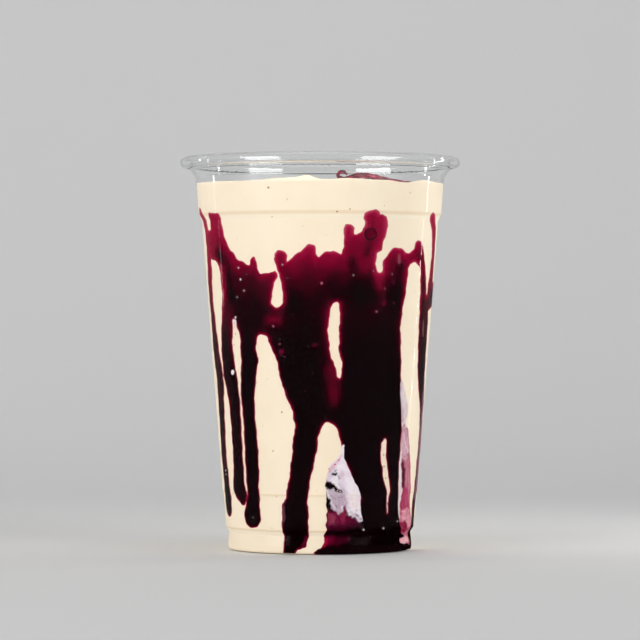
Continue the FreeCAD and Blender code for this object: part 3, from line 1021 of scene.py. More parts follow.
    gaps: tuple[Stroke, ...] = (
        # window between the far left and left runs
        band((-64.3, 97.2, 3.1), (-64.6, 90.0, 3.9), (-65.0, 85.0, 3.5), (-65.3, 80.0, 2.6),
             (-65.7, 76.0, 1.8), (-65.4, 70.0, 1.1), (-64.4, 65.0, 0.6), (-63.4, 60.5, 0.25),
             (-62.3, 56.5, 0.8), (-62.2, 52.0, 1.9), (-62.2, 45.0, 2.4), (-62.6, 35.0, 2.7),
             (-63.0, 27.0, 2.2), (-63.2, 22.0, 1.6), (-63.0, 17.0, 1.6), (-62.0, 10.0, 3.0)),
        # slit between the left runs
        band((-48.9, 77.4, 1.0), (-48.8, 74.6, 1.9), (-48.8, 71.0, 2.0), (-48.0, 66.0, 1.35),
             (-48.0, 61.0, 0.8), (-48.2, 56.0, 0.35), (-47.8, 52.0, 0.12), (-47.7, 48.5, 0.5),
             (-47.8, 40.0, 0.6), (-48.1, 31.0, 0.6), (-47.6, 26.0, 0.35), (-47.2, 21.0, 0.12),
             (-48.6, 17.6, 0.15), (-51.6, 15.0, 0.4), (-55.0, 12.5, 1.8)),
        # bay between the inner left run and the wide leg
        band((-31.0, 72.9, 2.3), (-30.3, 70.0, 3.0), (-29.0, 67.0, 3.3), (-28.5, 63.0, 4.2),
             (-28.5, 57.0, 5.4), (-27.4, 51.0, 6.8), (-25.9, 45.5, 7.7), (-26.1, 37.0, 7.1),
             (-27.2, 28.0, 6.4), (-28.6, 22.0, 5.9), (-29.8, 18.0, 5.0), (-30.4, 12.0, 4.8),
             (-30.2, 8.0, 4.8), (-30.0, 3.0, 4.8), (-31.0, -6.0, 5.4)),
        # small window under the curtain's middle
        band((-24.4, 99.5, 1.5), (-22.0, 97.0, 0.5), (-20.9, 94.8, 0.3), (-21.0, 92.0, 1.3),
             (-21.6, 89.0, 1.85), (-22.0, 86.2, 1.85)),
        # notch between the tall head and the hump
        band((30.4, 102.0, 1.3), (30.2, 99.6, 1.25), (30.6, 97.1, 1.1)),
        # window in the middle
        band((7.9, 84.7, 1.3), (7.1, 80.0, 1.8), (7.0, 75.0, 1.8), (7.4, 70.0, 1.5),
             (9.0, 66.0, 1.4), (9.9, 63.5, 1.05), (10.3, 61.0, 0.6)),
        # arch above the lump of stained cream, and the lump
        band((4.5, 42.8, 2.6), (5.0, 39.5, 3.9), (5.2, 35.5, 4.5), (3.4, 31.0, 4.2),
             (0.4, 27.0, 3.2), (-1.2, 23.5, 3.1), (-1.9, 18.0, 3.4), (-1.3, 12.0, 3.3),
             (-1.8, 8.4, 2.9), (-2.2, 4.8, 2.9)),
        band((0.8, 4.7, 1.0), (-1.6, 3.3, 1.3), (-7.0, 1.4, 1.6), (-12.0, 0.0, 1.8)),
        band((11.6, 31.5, 1.6), (11.8, 27.5, 3.4), (11.8, 23.5, 5.0), (12.2, 20.4, 5.4),
             (18.5, 18.2, 3.6)),
        # window between the middle and the right run
        band((54.2, 96.4, 3.5), (54.7, 90.0, 4.2), (53.8, 80.0, 5.2), (54.8, 70.0, 5.0),
             (56.8, 60.0, 5.5), (59.8, 52.0, 6.4), (62.4, 45.5, 7.3), (63.2, 38.0, 7.7),
             (62.6, 30.0, 7.4), (62.6, 21.8, 6.8), (63.4, 14.6, 5.8), (65.0, 12.4, 4.6)),
        # sliver at the right
        band((38.6, 38.8, 0.6), (37.9, 36.8, 1.2), (38.4, 33.0, 1.2), (39.7, 29.0, 1.1),
             (41.3, 25.5, 1.3), (43.0, 22.0, 0.8), (43.4, 19.5, 0.4), (43.4, 14.0, 0.25)),
        # valley between the right run and the far right run
        band((69.7, 100.0, 1.6), (69.5, 95.0, 1.3), (69.3, 89.4, 0.55)),
    )
    # how much deeper or thinner the sauce looks in each part, with the part's soft edge
    body: tuple[tuple[Stroke, float, float], ...] = (
        (band((-54.0, 100.0, 3.0), (-56.0, 60.0, 4.0), (-54.0, 20.0, 4.0)), 0.88, 4.0),
        (band((-72.0, 112.0, 3.0), (-71.0, 60.0, 4.0), (-71.0, 30.0, 4.0)), 0.80, 4.0),
        (band((65.0, 96.0, 2.0), (69.0, 70.0, 4.0), (74.0, 45.0, 3.0), (73.0, 0.0, 3.0)), 0.84, 3.0),
        (band((-26.0, 80.2, 1.4), (-22.4, 80.2, 1.6)), 0.26, 3.0),
        (band((-19.0, 98.5, 1.0), (-16.6, 93.0, 2.2), (-14.0, 86.0, 2.6)), 1.4, 3.0),
        (band((14.4, 107.0, 1.0), (15.4, 101.0, 1.6)), 1.4, 2.4),
        (band((4.0, 91.0, 1.6), (8.0, 88.6, 1.6)), 1.3, 3.0),
        (band((-46.4, 99.0, 0.8), (-44.0, 97.0, 0.8)), 0.78, 2.0),
        (band((27.6, 113.0, 1.0), (28.0, 109.0, 1.0)), 1.4, 2.0),
        (band((44.0, 98.6, 1.6), (47.0, 98.4, 1.0)), 1.35, 2.0),
        (band((24.8, 106.6, 0.6), (24.0, 103.0, 1.2)), 1.9, 1.8),
        (band((15.0, 100.0, 1.0), (18.6, 98.0, 3.0), (22.0, 96.0, 3.4), (22.0, 90.0, 4.0)), 1.5, 3.4),
        (band((-66.0, 101.6, 1.0), (-60.0, 102.2, 1.6), (-57.0, 100.6, 1.0)), 1.9, 2.2),
        (band((3.0, 98.0, 1.0), (10.0, 97.6, 1.0)), 0.84, 3.0),
        (band((50.0, 99.6, 1.4), (44.0, 96.0, 2.0), (41.0, 88.0, 3.0)), 1.3, 3.0),
        (band((56.0, 101.6, 0.6), (60.0, 100.0, 1.4), (64.0, 92.0, 2.0)), 1.6, 2.2),
        (band((28.8, 96.0, 0.6), (30.4, 91.4, 1.0)), 0.60, 2.4),
        (band((2.8, 82.0, 0.8), (3.2, 72.0, 1.4), (4.6, 64.0, 2.0)), 0.68, 3.6),
        (band((5.0, 63.0, 1.2), (7.4, 57.0, 2.4), (7.4, 52.6, 1.6)), 0.48, 3.6),
        (band((-54.0, 102.0, 0.6), (-51.0, 95.0, 1.0), (-50.0, 88.0, 1.2)), 1.5, 2.2),
        (band((-62.0, 113.0, 2.0), (-60.0, 107.0, 1.6)), 0.82, 3.0),
    )
    # height, the millimetres over which the sauce deepens inwards, and the deepest look
    layers: tuple[Mark, ...] = (
        (2.0, 0.5, 1.0), (60.0, 0.6, 1.0), (72.0, 0.75, 0.95), (80.0, 0.95, 0.87),
        (86.0, 1.3, 0.81), (90.0, 1.6, 0.74), (94.0, 2.0, 0.66), (98.0, 2.4, 0.58),
        (102.0, 2.5, 0.47), (106.0, 2.6, 0.38), (112.0, 2.6, 0.34), (120.0, 2.6, 0.31),
    )
    dabs: tuple[Dab, ...] = (
        # black foot, and the crimson that shows through above it
        dab(BLACK_FOOT, (0.0, 1.2, 1.4), (30.0, 1.2, 1.5), (60.0, 1.0, 1.4), soft=0.5),
        dab(FOOT_WINE, (6.0, 5.0, 1.6), (12.0, 5.0, 1.3), (18.0, 5.0, 0.5), soft=1.0),
        dab(FOOT_CRIMSON, (3.0, 4.9, 1.5), (7.0, 4.9, 1.0), soft=1.0),
        dab(FOOT_RED, (1.8, 6.0, 0.7), (2.6, 4.4, 1.2), (4.0, 4.2, 0.7), soft=0.7),
        dab(DARK_LINE, (1.0, 6.9, 0.1), (14.0, 7.1, 0.2), (30.0, 7.4, 0.3), soft=0.3),
        # painted highlight: a thin glint line on the dark pool
        dab(GLINT, (24.6, 11.0, 0.1), (26.4, 9.0, 0.12), soft=0.25, strength=0.7),
        # wine edge of the wide leg and red at its foot
        dab(LEG_RED, (-10.2, 2.2, 0.5), (-8.6, 6.0, 0.5), soft=0.9, strength=0.8),
        dab(LEG_EDGE, (-23.0, 9.6, 0.3), (-22.4, 15.0, 0.4), (-20.4, 20.0, 0.25),
            soft=0.6, strength=0.6),
        # painted highlight: a grey glint line on the wide leg
        dab(GREY_GLINT, (-21.8, 11.4, 0.2), (-21.0, 15.8, 0.25), soft=0.4, strength=0.5),
        # small crimson and pink patches
        dab((0.25, 0.006, 0.05), (-20.0, 69.5, 0.7), soft=0.7, strength=0.8),
        dab((0.20, 0.006, 0.04), (-2.5, 71.5, 0.5), soft=0.7, strength=0.7),
        dab((0.42, 0.07, 0.13), (42.4, 102.4, 0.3), (42.2, 100.0, 0.7), soft=0.6, strength=0.9),
        dab((0.30, 0.02, 0.08), (39.6, 92.6, 0.4), soft=0.6, strength=0.8),
        dab((0.24, 0.01, 0.05), (34.0, 86.0, 0.7), soft=0.9, strength=0.8),
        # pink patch in the right run and streaks at its foot
        dab((0.35, 0.13, 0.15), (68.0, 79.5, 0.5), (68.0, 75.0, 0.6), soft=0.6, strength=0.7),
        dab((0.40, 0.20, 0.26), (80.0, 60.0, 2.0), (80.0, 20.0, 2.4), soft=1.5, strength=0.7),
    )

    def build(self) -> bpy.types.Object:
        """Make the curtain and dress it."""
        film = WallFilm(
            name="sauce_on_wall", runs=self.runs, gaps=self.gaps, span=(-86.0, 100.0, 0.5, 122.0),
            spacing=0.6, lift=0.22, thickness=1.5, body=self.body,
            layers=self.layers, dabs=self.dabs, waver=0.16,
        )
        piece = film.build()
        self.finish.dress(piece)
        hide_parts("berry_sauce")
        return piece


@dataclass
class StainedPatch:
    """A patch of cream at the wall that the sauce has marbled."""

    name: str
    node: str
    runs: tuple[Stroke, ...]
    dabs: tuple[Dab, ...]
    ground: Colour
    span: Span
    finish: StainedCream = StainedCream()

    def build(self) -> bpy.types.Object:
        """Make the patch just in front of the sauce and dress it."""
        film = WallFilm(
            name=self.name, runs=self.runs, span=self.span, spacing=0.3, lift=0.27,
            thickness=1.2, ground=self.ground, ground_strength=1.0, dabs=self.dabs, waver=0.12,
            blend=0.6,
        )
        piece = film.build()
        self.finish.dress(piece)
        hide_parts(self.node)
        return piece


def froth_lump() -> StainedPatch:
    """Return the lump of froth that shows through the arch in the sauce."""
    return StainedPatch(
        name="stained_froth",
        node="froth_lump",
        runs=(
            band((12.8, 37.4, 0.4), (12.2, 34.6, 0.75), (11.8, 32.0, 1.7), (12.4, 29.0, 2.4),
                 (13.8, 26.4, 2.9), (15.5, 23.4, 3.4), (17.5, 20.6, 3.9), (18.5, 17.6, 3.8),
                 (20.1, 14.6, 3.0), (23.4, 12.6, 1.3), (25.0, 11.9, 0.5)),
            band((11.6, 33.4, 0.5), (9.4, 31.4, 1.1), (8.0, 29.6, 1.9), (7.2, 27.0, 2.2),
                 (6.3, 24.4, 2.1), (6.9, 22.0, 2.2), (7.0, 18.0, 2.3), (8.0, 15.5, 2.4),
                 (8.0, 12.0, 2.6), (7.4, 10.6, 2.4)),
            band((12.5, 22.0, 3.0), (13.0, 16.0, 3.2), (14.0, 11.5, 2.8)),
            band((6.8, 10.6, 2.2), (14.0, 10.2, 2.6), (20.4, 10.8, 2.2)),
        ),
        ground=LILAC_WHITE,
        span=(-2.0, 32.0, 5.0, 40.0),
        dabs=(
            # pale froth: warmer low down, violet towards the left, with painted purple shade and a painted
            # tan shade line
            dab(PINK_WHITE, (19.2, 20.0, 1.5), (20.4, 17.0, 1.8), soft=1.2, strength=0.9),
            dab(LILAC, (7.0, 29.4, 1.0), (5.4, 27.4, 1.2), (4.2, 25.6, 0.8), soft=1.0, strength=0.7),
            dab(LILAC_WHITE, (6.9, 26.0, 0.6), (8.3, 25.3, 0.4), soft=0.5, strength=0.9),
            # painted shade: soft lilac along the pale band's left side, low and high
            dab(LILAC, (15.8, 19.4, 0.4), (16.2, 17.6, 0.6), (16.8, 15.8, 0.5), soft=0.9, strength=0.85),
            dab(LILAC, (12.0, 28.6, 0.5), (12.6, 26.0, 0.7), (14.2, 23.4, 0.6), soft=1.2, strength=0.6),
            # painted shade: violet where the pale band meets the wine
            dab(VIOLET_SHADE, (11.6, 24.6, 0.3), (13.0, 22.6, 0.4), (14.7, 21.0, 0.3), soft=0.9, strength=0.75),
            dab(MAUVE, (3.0, 26.2, 0.2), (3.3, 25.0, 0.3), soft=0.4, strength=0.8),
            dab(PINK, (12.0, 34.0, 0.3), (10.2, 32.2, 0.4), (8.2, 30.6, 0.5), (5.0, 29.0, 0.4),
                soft=0.9, strength=0.7),
            # painted shade: a tan line along the cup's bead
            dab((0.62, 0.50, 0.46), (15.2, 20.4, 0.1), (23.4, 20.5, 0.1), soft=0.25, strength=0.55),
            # magenta below, rosy at the left, sinking to wine
            dab(MAGENTA, (2.0, 9.4, 2.6), (22.0, 9.0, 2.4), soft=0.4),
            dab(BLACK_WINE, (-4.0, 5.4, 3.0), (14.0, 5.4, 3.0), (34.0, 6.2, 3.0), soft=0.4),
            dab(MAGENTA, (3.6, 14.8, 1.3), (8.0, 12.4, 2.8), (13.6, 12.0, 2.6), soft=0.4),
            dab(DEEP_MAGENTA, (15.6, 12.6, 1.2), (18.0, 11.5, 1.3), (21.0, 10.8, 1.4), (23.6, 10.0, 1.1),
                soft=0.35),
            dab(MAGENTA, (14.7, 17.0, 0.25), (14.2, 15.0, 0.8), (13.8, 13.6, 1.0), soft=0.35),
            dab(DUSTY_ROSE, (6.2, 13.6, 0.9), (6.8, 11.9, 1.3), (7.8, 11.0, 0.9), soft=1.0, strength=0.9),
            dab((0.27, 0.018, 0.055), (13.8, 14.8, 0.7), (13.4, 12.4, 1.0), soft=0.8, strength=0.9),
            dab(WINE, (10.3, 13.8, 0.1), (9.2, 12.0, 0.15), (8.8, 10.4, 0.3), soft=0.45, strength=0.75),
            dab(WINE, (4.4, 15.6, 0.2), (6.4, 14.9, 0.2), (8.6, 14.6, 0.2), soft=0.4, strength=0.6),
            dab(WINE, (16.6, 12.8, 0.1), (16.2, 10.6, 0.3), soft=0.4, strength=0.7),
            dab(WINE, (19.8, 12.0, 0.1), (20.2, 9.8, 0.3), soft=0.4, strength=0.7),
            dab(WINE, (2.0, 9.2, 0.8), (12.0, 9.3, 1.1), (24.0, 9.6, 1.1), soft=1.5, strength=0.95),
            dab(BLACK_WINE, (2.0, 7.2, 0.9), (14.0, 7.6, 1.3), (26.0, 8.2, 1.6), soft=1.0),
            # dark line under the froth, and its grey lower rim
            dab(LILAC_GREY, (17.6, 14.5, 0.3), (20.0, 13.6, 0.4), (22.6, 13.0, 0.5), (25.0, 12.2, 0.5),
                soft=0.6, strength=0.9),
            dab(BLACK_WINE, (14.5, 16.0, 0.1), (15.9, 14.2, 0.2), (17.9, 13.0, 0.22), (20.9, 12.3, 0.2),
                (23.4, 11.3, 0.15), soft=0.3, strength=0.95),
            dab(CRIMSON, (22.0, 15.0, 0.25), soft=0.25),
            dab(BLACK_WINE, (21.5, 13.4, 0.28), (22.4, 13.2, 0.15), soft=0.25, strength=0.95),
            dab(CRIMSON, (19.6, 16.6, 0.08), soft=0.2, strength=0.8),
            # holes, and the dark wine between them and the grey patch
            dab(WINE, (7.0, 23.4, 0.8), (9.0, 22.7, 0.8), (11.0, 22.0, 0.6), (12.2, 21.4, 0.3), soft=0.5),
            dab(MAUVE, (2.6, 22.8, 0.4), (3.4, 20.8, 0.5), soft=0.4, strength=0.9),
            dab(WINE, (3.4, 19.6, 0.6), (5.2, 16.4, 0.9), (8.2, 15.0, 0.4), soft=0.5),
            dab(BLACK_WINE, (2.6, 24.3, 0.7), (5.2, 24.0, 1.15), (7.4, 23.3, 0.85), (5.0, 22.8, 0.7),
                soft=0.3),
            dab(WINE, (3.0, 22.0, 0.25), (3.4, 20.6, 0.3), soft=0.25, strength=0.9),
            dab(BLACK_WINE, (3.0, 19.4, 0.6), (4.4, 18.2, 0.95), (5.2, 16.9, 0.75), (3.6, 16.4, 0.6),
                soft=0.3),
            dab(LILAC, (6.2, 17.6, 0.15), (7.4, 16.2, 0.2), (9.0, 15.2, 0.2), soft=0.3, strength=0.7),
            # the grey patch with its seam lines, and painted purple shade at its right
            dab(LILAC_GREY, (5.0, 22.2, 0.35), (7.2, 21.2, 0.9), (10.0, 20.2, 1.2), (13.0, 20.0, 1.05),
                (14.5, 19.2, 0.6), soft=0.3),
            dab(LILAC_GREY, (6.4, 20.0, 0.9), (9.4, 18.6, 1.5), (12.4, 18.2, 1.3), (13.6, 17.4, 0.6),
                soft=0.3),
            dab(LILAC_GREY, (8.4, 18.0, 0.9), (10.6, 16.6, 1.3), (11.0, 15.2, 0.9), (10.9, 14.2, 0.4),
                soft=0.3),
            dab(LILAC, (5.2, 21.6, 0.3), (6.8, 20.6, 0.5), (8.6, 19.8, 0.3), soft=0.5, strength=0.6),
            dab((0.66, 0.56, 0.62), (10.6, 20.8, 0.15), (13.6, 20.9, 0.2), soft=0.3, strength=0.7),
            dab(PURPLE, (4.8, 21.4, 0.1), (6.6, 19.9, 0.12), (8.8, 19.2, 0.14), soft=0.25, strength=0.65),
            dab(PURPLE, (9.0, 17.2, 0.08), (10.4, 16.2, 0.1), (12.2, 16.6, 0.08), soft=0.2, strength=0.45),
            # painted shade: purple at the grey patch's right
            dab((0.36, 0.14, 0.26), (15.1, 19.2, 0.15), (15.3, 17.4, 0.35), (14.9, 16.2, 0.2),
                soft=0.6, strength=0.7),
            # spots of sauce in the froth above
            dab(BLACK_WINE, (7.0, 27.6, 0.4), (8.4, 27.3, 0.5), (9.3, 27.9, 0.2), soft=0.3),
            dab(BLACK_WINE, (9.0, 28.8, 0.22), (8.4, 28.4, 0.15), soft=0.25),
            dab(PURPLE, (10.2, 26.9, 0.3), (10.9, 26.4, 0.35), soft=0.6, strength=0.75),
            dab(CRIMSON, (11.5, 33.3, 0.12), soft=0.25, strength=0.9),
            dab(CRIMSON, (10.3, 32.3, 0.14), soft=0.25, strength=0.9),
            dab(CRIMSON, (8.6, 30.9, 0.16), soft=0.3, strength=0.9),
            dab(CRIMSON, (5.2, 29.2, 0.2), soft=0.3, strength=0.9),
        ),
    )


def rose_smear() -> StainedPatch:
    """Return the rose-coloured smear beside the right-hand window."""
    return StainedPatch(
        name="stained_smear",
        node="rose_smear",
        runs=(
            band((49.2, 58.0, 0.9), (50.6, 55.0, 1.4), (52.2, 52.0, 1.8), (53.2, 48.8, 2.0),
                 (53.1, 45.2, 1.3), (53.8, 43.0, 1.3), (55.0, 40.8, 2.3), (56.0, 37.0, 2.8),
                 (57.2, 29.8, 4.0), (59.1, 22.0, 4.6), (61.0, 14.3, 4.7), (64.2, 10.6, 4.6)),
            band((68.6, 9.0, 2.4), (68.8, 6.4, 2.4), (68.0, 4.6, 1.8)),
            band((60.0, 3.9, 0.8), (65.0, 3.9, 1.2), (71.0, 3.8, 1.2), (74.0, 3.0, 0.9)),
        ),
        ground=ROSE,
        span=(44.0, 80.0, 1.0, 61.0),
        dabs=(
            # pale column above
            dab(PALE, (48.6, 58.4, 1.6), (52.2, 52.0, 2.6), (53.3, 48.8, 2.6), (53.2, 44.6, 1.9), soft=0.5),
            dab(LILAC_PINK, (48.2, 57.4, 0.2), (50.4, 52.0, 0.25), (51.5, 46.0, 0.25),
                soft=0.6, strength=0.7),
            dab(LILAC_PINK, (54.8, 50.6, 0.3), (55.4, 47.6, 0.5), soft=0.7, strength=0.6),
            dab(WINE, (55.9, 47.2, 0.3), soft=0.3, strength=0.85),
            dab(WINE, (54.9, 46.7, 0.2), soft=0.25, strength=0.8),
            dab(WINE, (51.5, 45.2, 0.2), (52.6, 45.6, 0.12), (53.6, 46.2, 0.15), soft=0.25, strength=0.85),
            dab(BLACK_WINE, (52.6, 43.1, 0.3), (53.6, 43.8, 0.25), (54.2, 44.0, 0.12),
                soft=0.3, strength=0.95),
            # lilac pink below it, with pale veins
            dab(LILAC_PINK, (53.8, 42.0, 1.6), (55.6, 38.4, 2.8), (56.2, 35.0, 3.2), soft=0.6),
            dab(CRIMSON, (57.2, 40.6, 0.4), (57.6, 39.8, 0.35), soft=0.6, strength=0.7),
            dab(ROSE, (58.6, 38.6, 0.3), (60.2, 35.4, 0.4), soft=0.6, strength=0.7),
            dab(PALE, (53.4, 41.6, 0.2), (56.0, 37.4, 0.3), (59.0, 34.4, 0.3), soft=0.5, strength=0.8),
            dab(PALE, (53.0, 38.0, 0.2), (55.4, 35.0, 0.2), soft=0.4, strength=0.6),
            dab(PALE, (56.8, 40.8, 0.12), (58.8, 37.2, 0.15), soft=0.3, strength=0.6),
            dab((0.34, 0.06, 0.14), (53.4, 33.9, 0.08), (57.4, 33.2, 0.12), (61.4, 34.0, 0.12),
                soft=0.3, strength=0.75),
            # pale strip along the dark run, and the dark streak
            dab((0.84, 0.73, 0.72), (50.6, 40.0, 0.5), (51.4, 34.0, 0.8), (51.9, 29.0, 0.95),
                (53.2, 24.0, 1.25), (53.8, 20.0, 1.3), (54.0, 16.0, 0.9), (54.4, 12.6, 0.6), soft=0.35),
            dab(LILAC_PINK, (53.4, 31.0, 0.1), (54.6, 25.0, 0.12), soft=0.4, strength=0.6),
            # mauve beside the dark streak, and its veins
            dab(MAUVE, (55.6, 31.6, 0.6), (57.0, 27.4, 0.9), (58.2, 22.8, 0.6), soft=0.9, strength=0.85),
            dab(PINK, (57.4, 32.0, 0.12), (59.4, 27.4, 0.2), (59.6, 22.2, 0.3), soft=0.4, strength=0.85),
            dab(PINK, (60.4, 31.0, 0.2), (62.6, 25.8, 0.3), (63.0, 22.0, 0.3), soft=0.7, strength=0.7),
            dab(MAUVE, (61.6, 29.6, 0.08), (61.2, 26.0, 0.1), (61.6, 22.6, 0.1), soft=0.3, strength=0.6),
            dab(STREAK, (54.4, 32.2, 0.3), (55.0, 29.4, 0.95), (55.9, 26.0, 1.1), (57.0, 22.4, 0.75),
                (57.2, 20.6, 0.3), soft=0.35),
            # crimson below the bead, and the pink and pale waves under it
            dab(CRIMSON, (59.2, 19.8, 2.6), (60.6, 16.2, 3.6), soft=0.7),
            dab(ROSE, (61.0, 19.6, 0.3), (62.0, 16.4, 0.3), soft=0.7, strength=0.6),
            dab(DARK_CRIMSON, (57.0, 20.6, 0.25), (56.0, 17.4, 0.35), (56.4, 15.6, 0.3), soft=0.5),
            dab(PINK, (57.6, 13.0, 1.2), (62.0, 12.4, 2.0), (67.0, 12.0, 1.6), soft=0.8, strength=0.95),
            dab(CRIMSON, (55.6, 14.0, 0.5), (57.2, 13.4, 0.5), soft=0.5, strength=0.8),
            dab(SALMON, (56.2, 14.6, 0.12), (59.6, 14.0, 0.2), (64.0, 14.9, 0.2), (67.0, 14.2, 0.15),
                soft=0.35, strength=0.85),
            dab(SALMON, (58.6, 12.0, 0.15), (62.4, 11.5, 0.25), (66.6, 12.2, 0.2), soft=0.35, strength=0.75),
            dab(CRIMSON, (64.0, 13.4, 0.1), (67.6, 13.0, 0.15), soft=0.3, strength=0.7),
            dab(DARK_CRIMSON, (57.4, 9.8, 0.9), (61.0, 9.4, 1.3), (64.2, 9.0, 1.3), soft=0.6),
            dab(PINK, (66.6, 10.4, 0.8), (69.6, 9.4, 1.4), (69.6, 8.2, 0.8), soft=0.5),
            dab(SALMON, (59.6, 10.6, 0.1), (62.2, 11.0, 0.2), (65.6, 10.0, 0.2), (66.6, 8.4, 0.2),
                soft=0.35, strength=0.8),
            dab(DARK_CRIMSON, (56.0, 7.6, 0.9), (64.0, 7.3, 0.8), (70.0, 7.8, 0.3), soft=0.5),
            dab(MAUVE, (67.4, 6.6, 0.5), (67.4, 5.4, 0.5), soft=0.6, strength=0.7),
            dab(SALMON, (61.0, 3.9, 0.9), (66.0, 4.0, 1.1), (71.0, 3.9, 1.0), soft=0.5),
            dab(PALE, (64.0, 3.4, 0.3), (70.0, 3.4, 0.3), soft=0.5, strength=0.6),
            dab(CRIMSON, (74.4, 2.9, 0.9), soft=0.4),
        ),
    )


@dataclass
class SauceBubble:
    """A bubble caught in the sauce at the wall: a dark ring round a crimson disc."""

    place: Place = (24.8, 109.2)
    radius: float = 2.35
    disc: float = 1.75
    finish: BerrySauce = BerrySauce()

    def build(self) -> bpy.types.Object:
        """Make the bubble as a small fine film just in front of the sauce."""
        azimuth, height = self.place
        reach = self.radius * 1.3
        film = WallFilm(
            name="sauce_bubble", runs=(band((azimuth, height, self.radius)),),
            span=(azimuth - reach / ARC, azimuth + reach / ARC, height - reach, height + reach),
            spacing=0.14, lift=0.27, thickness=0.9, waver=0.03, layers=((0.0, 0.16, 0.86),),
            body=((band((azimuth, height + 0.15, self.disc)), 0.40, 0.22),),
        )
        piece = film.build()
        self.finish.dress(piece)
        return piece


@dataclass
class FloorPool:
    """The sauce on the cup's floor and in its foot, which shows from below."""

    section: CupSection = field(default_factory=CupSection)
    azimuth: float = 33.0
    reach: float = 19.0
    radius: float = 20.4
    lift: float = 0.22
    thickness: float = 2.0
    spacing: float = 0.7
    wall_top: float = 1.0
    fade: float = 0.8
    drawn_in: float = 0.96
    finish: BerrySauce = BerrySauce(stained=False)

    def floor_line(self) -> list[Place]:
        """Return the floor's section from the axis to the wall, with points set between."""
        path = self.section.offset(self.section.side(), self.lift)
        top = np.argmax((path[:, 0] > self.section.foot) & (path[:, 1] > self.wall_top))
        path = path[:top]
        line = [tuple(path[0])]
        for before, after in zip(path, path[1:]):
            steps = math.ceil(float(np.linalg.norm(after - before)) / self.spacing)
            line += [tuple(before + (after - before) * (i + 1) / steps) for i in range(steps)]
        return line

    def build(self) -> bpy.types.Object:
        """Spin the floor's section, keep the pool's round of it and thicken it inwards."""
        bm = spun(self.floor_line())
        edge_layer = bm.verts.layers.float.new("edge")
        depth_layer = bm.verts.layers.float.new("depth")
        centre = around(self.azimuth, self.reach, 0.0)
        for vert in bm.verts:
            away = Vector((vert.co.x, vert.co.y, 0.0)) - centre
            turn = math.atan2(away.y, away.x)
            wave = 0.6 * math.sin(3.0 * turn) + 0.4 * math.sin(7.0 * turn + 1.0)
            vert[edge_layer] = away.length - self.radius - wave
        trim(bm, edge_layer, 0.05)
        for vert in bm.verts:
            vert[depth_layer] = 1.0 - math.exp(min(vert[edge_layer], 0.0) / self.fade)
        back = bmesh.ops.extrude_face_region(bm, geom=bm.faces[:])["geom"]
        raised = [part for part in back if isinstance(part, bmesh.types.BMVert)]
        bmesh.ops.translate(bm, verts=raised, vec=(0.0, 0.0, self.thickness))
        inward = Matrix.Diagonal((self.drawn_in, self.drawn_in, 1.0, 1.0))
        bmesh.ops.transform(bm, matrix=inward, verts=raised)
        bmesh.ops.recalc_face_normals(bm, faces=bm.faces)
        bm.verts.layers.float.remove(edge_layer)
        piece = finish_mesh(bm, "sauce_on_floor")
        self.finish.dress(piece)
        return piece


@dataclass(frozen=True)
class Station:
    """One section of a poured rope: azimuth, distance from the wall, height, thickness."""

    azimuth: float
    inset: float
    height: float
    thickness: float


@dataclass
class TopDrizzle:
    """The hooked rope of sauce that lies along the wall on top of the drink."""

    section: CupSection = field(default_factory=CupSection)
    sides: int = 18
    between: int = 7
    thinnest: float = 0.3
    depth: float = 0.34
    streaks: float = 0.30
    stations: tuple[Station, ...] = (
        Station(12.6, 1.6, 129.3, 0.5),
        Station(11.4, 1.2, 130.2, 1.0),
        Station(9.6, 0.9, 130.3, 1.2),
        Station(8.3, 0.8, 129.4, 1.2),
        Station(8.9, 0.8, 128.3, 1.3),
        Station(12.0, 1.0, 128.0, 1.4),
        Station(16.5, 1.0, 129.0, 1.7),
        Station(21.0, 1.0, 129.1, 2.0),
        Station(25.5, 1.0, 128.7, 2.0),
        Station(30.0, 0.9, 128.2, 1.5),
        Station(37.0, 0.7, 127.7, 0.8),
        Station(46.0, 0.5, 127.3, 0.4),
    )
    finish: BerrySauce = BerrySauce(roughness=0.22, specular=0.4, stained=False)

    def path(self) -> list[tuple[Vector, float]]:
        """Return points and thicknesses on a smooth line through the stations."""
        rows = np.array([astuple(station) for station in self.stations])
        out = []
        for azimuth, inset, height, thickness in eased(rows, self.between):
            radius = float(self.section.radius(height)) - inset
            out.append((around(azimuth, radius, height), max(thickness, self.thinnest)))
        return out

    def build(self) -> bpy.types.Object:
        """Bridge rings along the path, close the ends and dress the rope."""
        bm = bmesh.new()
        path = self.path()
        rings = []
        for index, (point, thickness) in enumerate(path):
            ahead = path[min(index + 1, len(path) - 1)][0] - path[max(index - 1, 0)][0]
            swell = 1.0 + 0.10 * math.sin(0.9 * index) + 0.06 * math.sin(2.3 * index + 1.0)
            turn = ahead.to_track_quat("Z", "Y").to_matrix().to_4x4()
            ring = bmesh.ops.create_circle(
                bm, segments=self.sides, radius=thickness / 2 * swell,
                matrix=Matrix.Translation(point) @ turn,
            )["verts"]
            rings.append(sorted({e for v in ring for e in v.link_edges}, key=lambda e: e.index))
        for first, second in zip(rings, rings[1:]):
            bmesh.ops.bridge_loops(bm, edges=first + second)
        bmesh.ops.holes_fill(bm, edges=rings[0] + rings[-1])
        bmesh.ops.recalc_face_normals(bm, faces=bm.faces)
        depth_layer = bm.verts.layers.float.new("depth")
        for vert in bm.verts:
            streak = math.sin(0.9 * vert.co.x + 1.0) * math.sin(3.1 * vert.co.z + 0.6 * vert.co.x)
            vert[depth_layer] = self.depth + self.streaks * streak
        piece = finish_mesh(bm, "sauce_on_top")
        self.finish.dress(piece)
        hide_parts("top_drizzle")
        return piece


